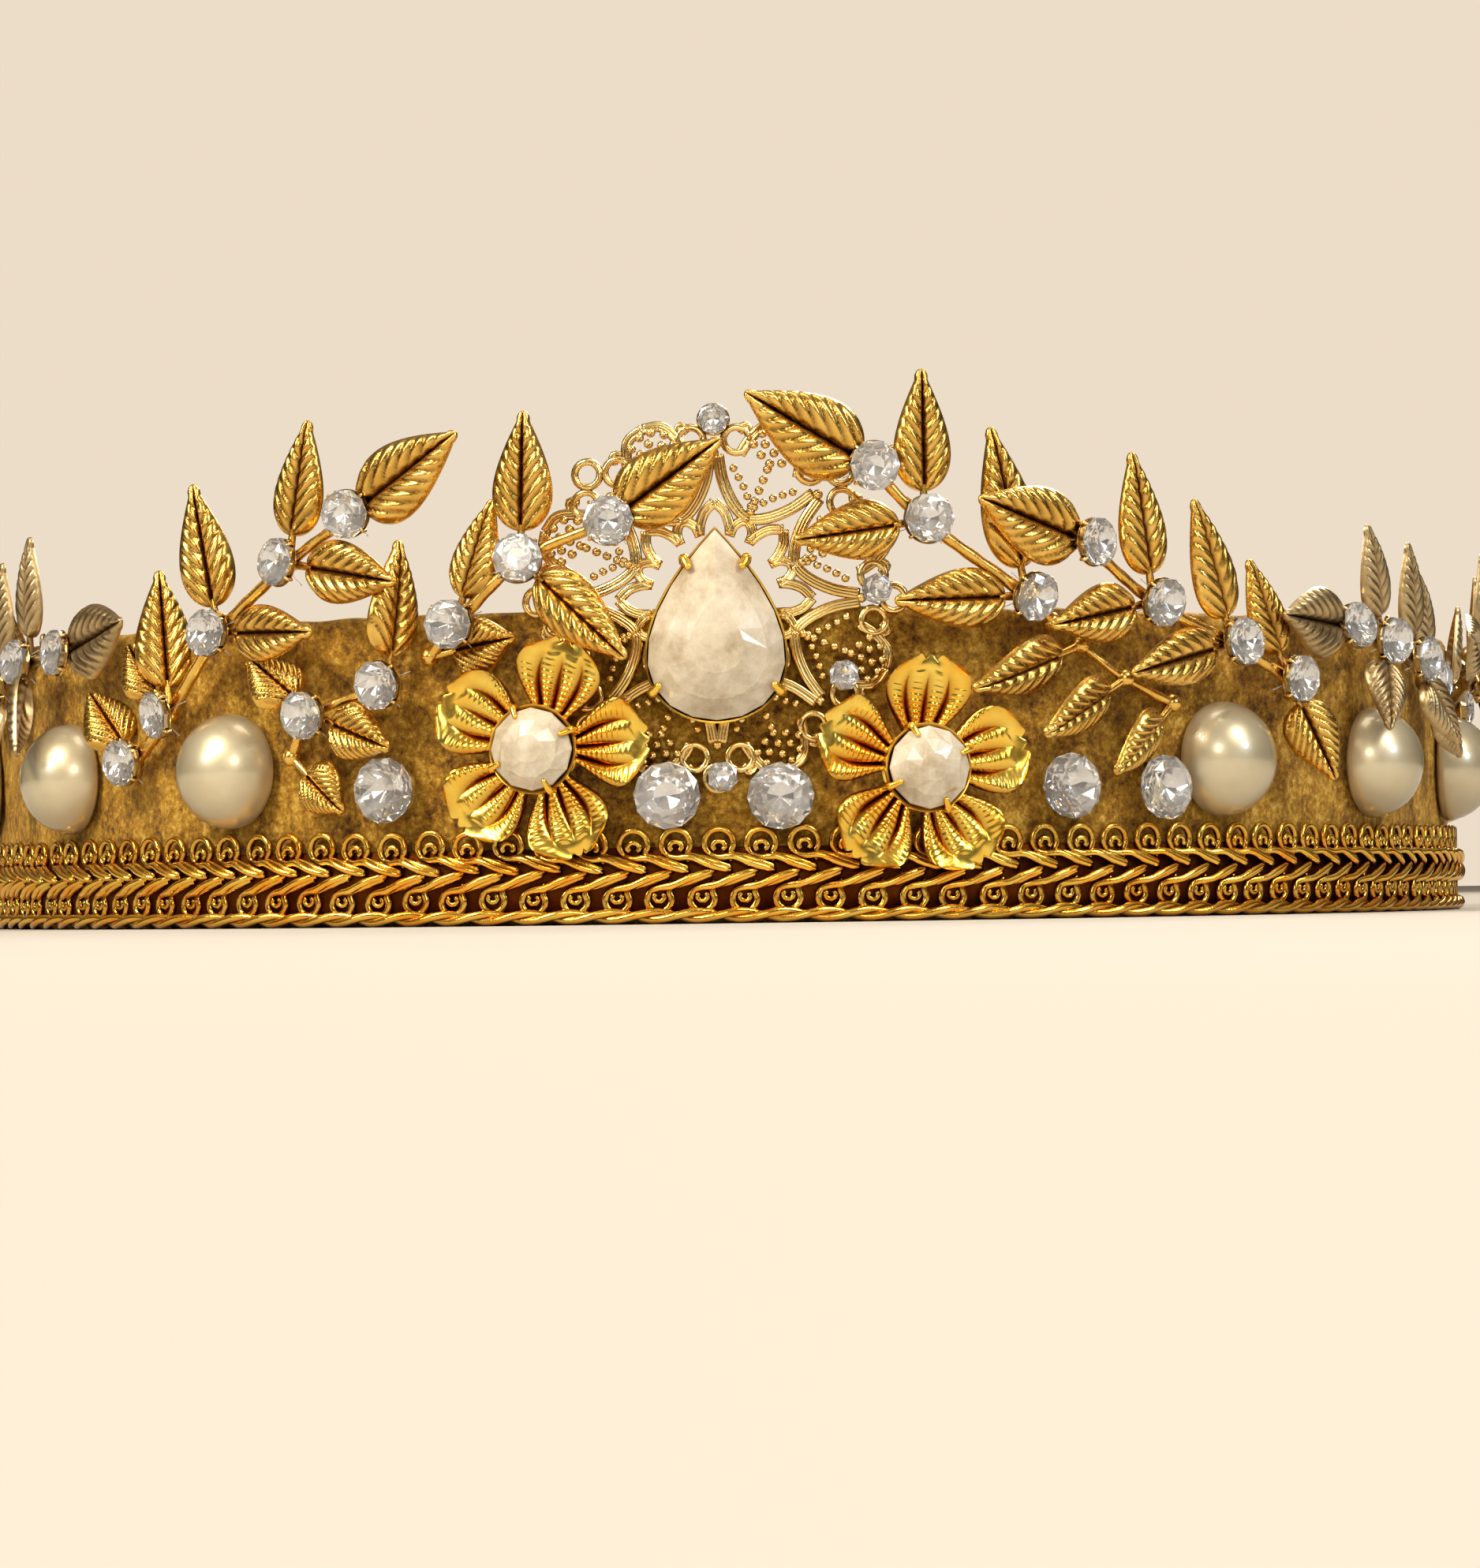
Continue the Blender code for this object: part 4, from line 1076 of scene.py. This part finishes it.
def foil_back(radius, facets):
    """The mirror foil that lies under the pavilion."""
    rings = facet_rings(radius, facets, ((0.92, 0.0, 0), (1.0, 0.34, 0), (0.97, 0.34, 0), (0.40, 0.11, 0.5)))
    return Shape(*stacked_rings(rings, (0, 0, 0), (0, 0, 0)))


def set_stone(glass, backs, place, radius, facets):
    glass.join(brilliant(radius, facets).transform(place))
    backs.join(foil_back(radius, facets).transform(place))


def make_rhinestones(mats):
    """The glued stones on the band and on the plate."""
    kinds = (("plate_stone_", PLATE_STONE_RADIUS, 8), ("rhinestone_", RHINESTONE_RADIUS, 12))
    for prefix, radius, facets in kinds:
        for name in sorted(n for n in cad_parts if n.startswith(prefix)):
            lean = Matrix.Rotation(math.radians(RANDOM.normal(0, 2.5)), 4, "X")
            spin = Matrix.Rotation(RANDOM.uniform(0, 1), 4, "Z")
            glass = Shape()
            backs = Shape()
            set_stone(glass, backs, band_frame(*node_place(name), ON_PLATE) @ lean @ spin, radius, facets)
            glass.make(f"{name}_glass", mats["crystal"], "clear_crystal", smooth=False, replaces=[name])
            backs.make(f"{name}_foil", mats["foil"], "clear_crystal", smooth=False)


def make_pearls(mats):
    """Half-round pearls: a short upright rim, then a quarter circle up to the crown."""
    arc = np.linspace(0, math.pi / 2, 16)
    dome = PEARL_RADIUS - PEARL_RIM
    profile = [(0, 0), (0.96 * PEARL_RADIUS, 0)]
    profile += [(PEARL_RADIUS * math.cos(t), PEARL_RIM + dome * math.sin(t)) for t in arc[:-1]]
    profile += [(0, PEARL_RADIUS)]
    for name in sorted(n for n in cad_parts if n.startswith("pearl_")):
        pearl = Shape(*lathe(profile, 56)).transform(band_frame(*node_place(name), ON_BAND))
        pearl.make(f"{name}_lustre", mats["pearl"], "pearl", replaces=[name], angle=60)


# ---------------------------------------------------------------- leaves

def leaf_surface(length, width, curl, rows=96, columns=31):
    """Front of a leaf along +Y, and its relief: a deep midrib groove and raised slanting ribs."""
    along = np.linspace(0, 1, rows)[:, None]
    across = np.linspace(-1, 1, columns)[None, :]
    side = np.abs(across)
    fullness = np.sin(math.pi * along ** 0.62) ** 0.85 * (1 - 0.10 * along)
    blunt_tip = 0.50 * np.sqrt(np.clip((1 - along) / 0.05, 0, 1)) * (along > 0.5)
    x = np.maximum(width / 2 * fullness, blunt_tip + 0.12) * across
    y = length * along + 0 * across
    swell = 0.25 * (1 - side ** 2) + 0.8 * np.sin(math.pi * side) ** 0.6
    puff = 0.17 * width * np.clip(fullness, 0, 1) ** 0.6 * swell
    phase = (y - 1.05 * np.abs(x) * (1 + 0.25 * side)) * RIBS_PER_LEAF / length
    ribs = np.abs(np.sin(math.pi * phase)) ** 0.6
    fade = np.clip(fullness * 2.4 - 0.25, 0, 1)
    fade = fade * np.clip((side - 0.06) * 9, 0, 1) * np.clip((1 - side) * 5, 0, 1)
    bend = curl * np.clip(along - 0.3, 0, 1) ** 2
    z = puff + RIB_DEPTH_SHARE * width * (ribs - 0.55) * fade + bend
    midrib = np.clip((side - 0.02) * 8, 0, 1)
    # The relief returned is the mask for the shade painted into the rib valleys and the midrib groove.
    return np.stack([x, y, z], axis=-1), (1 - 0.9 * fade * (1 - ribs)) * (0.12 + 0.88 * midrib)


def add_leaf(shape, length, width, place, twig):
    """A stamped leaf at the end of its twig, which starts at the place and runs along its Y."""
    curl = RANDOM.normal(0.6, 0.5)
    front, relief = leaf_surface(length, width * RANDOM.normal(1, 0.03), curl)
    leaf = thin_sheet(front, LEAF_THICKNESS, relief)
    shape.join(leaf.transform(place @ Matrix.Translation((0, twig, 0))))
    start = place.translation
    end = place @ Vector((0, twig + 0.06 * length, 0.1))
    path = smooth_path([start, (start + end) / 2, end], 0.4)
    outward = place.to_3x3() @ Vector(UP)
    shape.add(*tube(path, np.linspace(0.48, 0.34, len(path)), 8, outward))


def all_branches():
    """The branches seen in the photograph, and the repeated ones behind them on both sides."""
    branches = dict(FRONT_BRANCHES)
    for number, (start, height) in enumerate(zip(BACK_BRANCH_STARTS, BACK_BRANCH_HEIGHTS), 1):
        right = [(start + step, height - drop, offset) for step, drop, offset in BACK_JOINTS]
        left = [(-angle, joint_height, offset) for angle, joint_height, offset in right]
        turned = [(joint, -direction, length, tilt, -roll)
                  for joint, direction, length, tilt, roll in BACK_LEAVES]
        branches[f"leaf_branch_right_back_{number}"] = (right, BACK_LEAVES)
        branches[f"leaf_branch_left_back_{number}"] = (left, turned)
    return branches


def make_branch(mats, name, joints, leaves):
    """A stem with small collars at its joints, and its leaves on twigs."""
    low_branch = "lower" in name
    frames = [band_frame(*joint) for joint in joints]
    outward = frames[len(frames) // 2].to_3x3() @ Vector(UP)
    path = smooth_path([placed.translation for placed in frames], 0.7)
    radii = np.linspace(0.55, STEM_RADIUS, len(path)) * (0.7 if low_branch else 0.9)
    unevenness = 1 + 0.06 * np.sin(np.arange(len(path)) * 1.7)
    shape = Shape(*tube(path, radii * unevenness, 10, outward))
    for placed in frames:
        shape.add(*ball(placed.translation, 0.95, 8, 12))
    for index, (joint, direction, length, tilt, roll) in enumerate(leaves):
        broad = index == 0 and not low_branch
        turn = Matrix.Rotation(math.radians(-direction), 4, "Z")
        lean = Matrix.Rotation(math.radians(tilt), 4, "X")
        spin = Matrix.Rotation(math.radians(roll), 4, "Y")
        width = BROAD_LEAF_WIDTH if broad else LEAF_WIDTH
        twig = BROAD_TWIG_LENGTH if broad else TWIG_LENGTH
        add_leaf(shape, length, width, frames[joint] @ turn @ lean @ spin, twig)
    # The side and back leaves take the darker copy of the gold, which is painted shade.
    gold = mats["dull_leaf" if name.endswith("side") or "back" in name else "leaf"]
    shape.make(f"{name}_stamped", gold, "antique_gold", replaces=[name], angle=70)


def make_branches(mats):
    for name, (joints, leaves) in all_branches().items():
        make_branch(mats, name, joints, leaves)


def stone_seat(radius):
    """A shallow metal cup with four claws."""
    rim = [(0, -0.25), (0.8 * radius, -0.2), (0.99 * radius, 0.1), (0.99 * radius, 0.22),
           (0.9 * radius, 0.1), (0.5 * radius, -0.12), (0, -0.12)]
    seat = Shape(*lathe(rim, 32))
    for degrees in (45, 135, 225, 315):
        turn = math.radians(degrees)
        outward = np.array([math.cos(turn), math.sin(turn), 0])
        foot = outward * radius
        top = 1.03 * foot + [0, 0, 0.5]
        tip = 0.90 * foot + [0, 0, 0.85]
        seat.join(claw(foot, top, tip, 0.17))
    return seat


def add_threads(shape, place):
    """Two crossing threads that tie a stone down."""
    for across, along in ((1, 0.55), (0.6, -1)):
        route = [(across * reach, along * share * reach, depth) for reach, share, depth in
                 ((-2.8, 2.2 / 2.8, -0.9), (-1.5, 0.8, -0.42), (1.5, 0.8, -0.42), (2.8, 2.2 / 2.8, -0.9))]
        path = smooth_path([place @ Vector(point) for point in route], 0.4)
        shape.add(*tube(path, 0.05, 5))


def make_joint_stones(mats):
    """A claw-set stone stitched in front of each branch's joints from the tip, as many as STONES_ON_BRANCH
    gives (every joint where it gives no number), and the threads that hold it.
    """
    cad_names = [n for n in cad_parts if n.startswith("joint_stone_")]
    for name, (joints, _) in all_branches().items():
        stones = STONES_ON_BRANCH.get(name, len(joints))
        if stones == 0:
            continue
        glass, backs, claws, threads = Shape(), Shape(), Shape(), Shape()
        for angle, height, offset in joints[:stones]:
            place = band_frame(angle, height, offset + STEM_RADIUS + GAP)
            lean = Matrix.Rotation(math.radians(RANDOM.normal(0, 9)), 4, "Y")
            lean = lean @ Matrix.Rotation(math.radians(RANDOM.normal(0, 7)), 4, "X")
            set_stone(glass, backs, place @ lean, JOINT_STONE_RADIUS, 10)
            claws.join(stone_seat(JOINT_STONE_RADIUS).transform(place @ lean))
            add_threads(threads, place)
        replaced = [n for n in cad_names if name.endswith(n[len("joint_stone_"):-2])]
        short = name.replace("leaf_branch_", "")
        glass.make(f"joint_stones_{short}", mats["crystal"], "clear_crystal", smooth=False, replaces=replaced)
        backs.make(f"joint_stone_foils_{short}", mats["foil"], "clear_crystal", smooth=False)
        claws.make(f"joint_stone_seats_{short}", mats["brass"], "pale_brass", angle=50)
        threads.make(f"joint_threads_{short}", mats["nylon"], "clear_crystal")


# ---------------------------------------------------------------- stage, in metres

def dress_hidden_nodes(mats):
    """The pieces inside the cover keep their CAD shape and get real materials."""
    for name, key in (("band_core", "buckram"), ("top_edge_wire", "steel"), ("bottom_edge_wire", "steel")):
        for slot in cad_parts[name].material_slots:
            slot.material = mats[key]


def area_light(name, location, size, energy, colour):
    """A round light that looks at the crown and is not seen itself."""
    light = bpy.data.lights.new(name, "AREA")
    light.shape = "DISK"
    light.size = size
    light.energy = energy
    light.color = colour
    holder = link_object(name, light)
    holder.location = location
    holder.visible_camera = False
    target = Vector((0, 0, 0.02))
    holder.rotation_euler = (target - Vector(location)).to_track_quat("-Z", "Y").to_euler()


def make_floor():
    half = 3.0
    mesh = bpy.data.meshes.new("floor")
    corners = [(-half, -half, 0), (half, -half, 0), (half, half, 0), (-half, half, 0)]
    mesh.from_pydata(corners, [], [(0, 1, 2, 3)])
    material, tree, shader = new_material("floor")
    tone = ramp(tree, noise(tree, 3, 2, 0.4), [(0.3, (0.52, 0.49, 0.45)), (0.7, (0.56, 0.53, 0.49))])
    fill(tree, shader, {"Base Color": tone, "Roughness": 0.9})
    mesh.materials.append(material)
    link_object("floor", mesh)


def make_world():
    """A warm pale backdrop for the camera, and a room that gets darker downwards in reflections."""
    world = bpy.data.worlds.new("studio")
    world.use_nodes = True
    bpy.context.scene.world = world
    tree = world.node_tree
    backdrop = tree.nodes["Background"]
    fill(tree, backdrop, {"Color": (0.84, 0.72, 0.58, 1), "Strength": 1.0})
    parts = tree.nodes.new("ShaderNodeSeparateXYZ")
    fill(tree, parts, {"Vector": tree.nodes.new("ShaderNodeTexCoord").outputs["Generated"]})
    shade = ramp(tree, parts.outputs["Z"], [(0.0, (0.05, 0.035, 0.02)), (0.25, (0.24, 0.19, 0.13)),
                                            (0.6, (0.55, 0.46, 0.36)), (1.0, (0.9, 0.82, 0.70))])
    room = tree.nodes.new("ShaderNodeBackground")
    fill(tree, room, {"Color": shade, "Strength": 0.45})
    seen = tree.nodes.new("ShaderNodeLightPath").outputs["Is Camera Ray"]
    choose = tree.nodes.new("ShaderNodeMixShader")
    fill(tree, choose, {"Fac": seen, 1: room.outputs["Background"], 2: backdrop.outputs["Background"]})
    fill(tree, tree.nodes["World Output"], {"Surface": choose.outputs["Shader"]})


def make_lights():
    area_light("key", (-0.44, -0.46, 0.54), 0.20, 5.2, (1.0, 0.88, 0.68))
    area_light("second_key", (0.46, -0.44, 0.54), 0.20, 2.8, (1.0, 0.92, 0.80))
    area_light("front", (0.0, -0.85, 0.30), 0.26, 1.2, (1.0, 0.92, 0.80))
    area_light("top", (0.12, -0.05, 0.75), 0.40, 1.2, (1.0, 0.90, 0.74))
    area_light("window_right", (0.56, -0.44, 0.28), 0.16, 0.8, (0.60, 0.76, 1.0))
    area_light("window_left", (-0.56, -0.42, 0.28), 0.16, 0.8, (0.90, 0.94, 1.0))
    area_light("back", (0.25, 0.65, 0.50), 0.30, 3.0, (1.0, 0.90, 0.74))
    bpy.context.scene.view_settings.view_transform = "Standard"


def make_camera():
    """Just above the band's lower edge and straight in front; the film's height is the picture's."""
    film_height = 36
    distance = 0.455
    front = (RING_CENTRE_Y - INNER_HALF_DEPTH) * MM
    data = bpy.data.cameras.new("camera")
    data.sensor_width = film_height
    data.lens = 109.2
    data.shift_x = 0.0131
    data.shift_y = 0.0688
    data.clip_start = 0.005
    data.clip_end = 20
    camera = link_object("camera", data)
    place = Matrix.Translation((0, front - distance, 0.003))
    upright = Matrix.Rotation(math.pi / 2, 4, "X")
    roll = Matrix.Rotation(math.radians(-0.77), 4, "Z")
    camera.matrix_world = place @ upright @ roll
    bpy.context.scene.camera = camera


def main():
    make_camera()
    make_floor()
    make_world()
    make_lights()
    mats = make_materials()
    dress_hidden_nodes(mats)
    make_cover(mats)
    make_lining(mats)
    make_scrolls(mats)
    make_braid_tape(mats)
    make_edge_cord(mats)
    make_filigree(mats)
    make_pear(mats)
    for side in ("left", "right"):
        make_flower(mats, side)
    make_rhinestones(mats)
    make_pearls(mats)
    make_branches(mats)
    make_joint_stones(mats)


main()
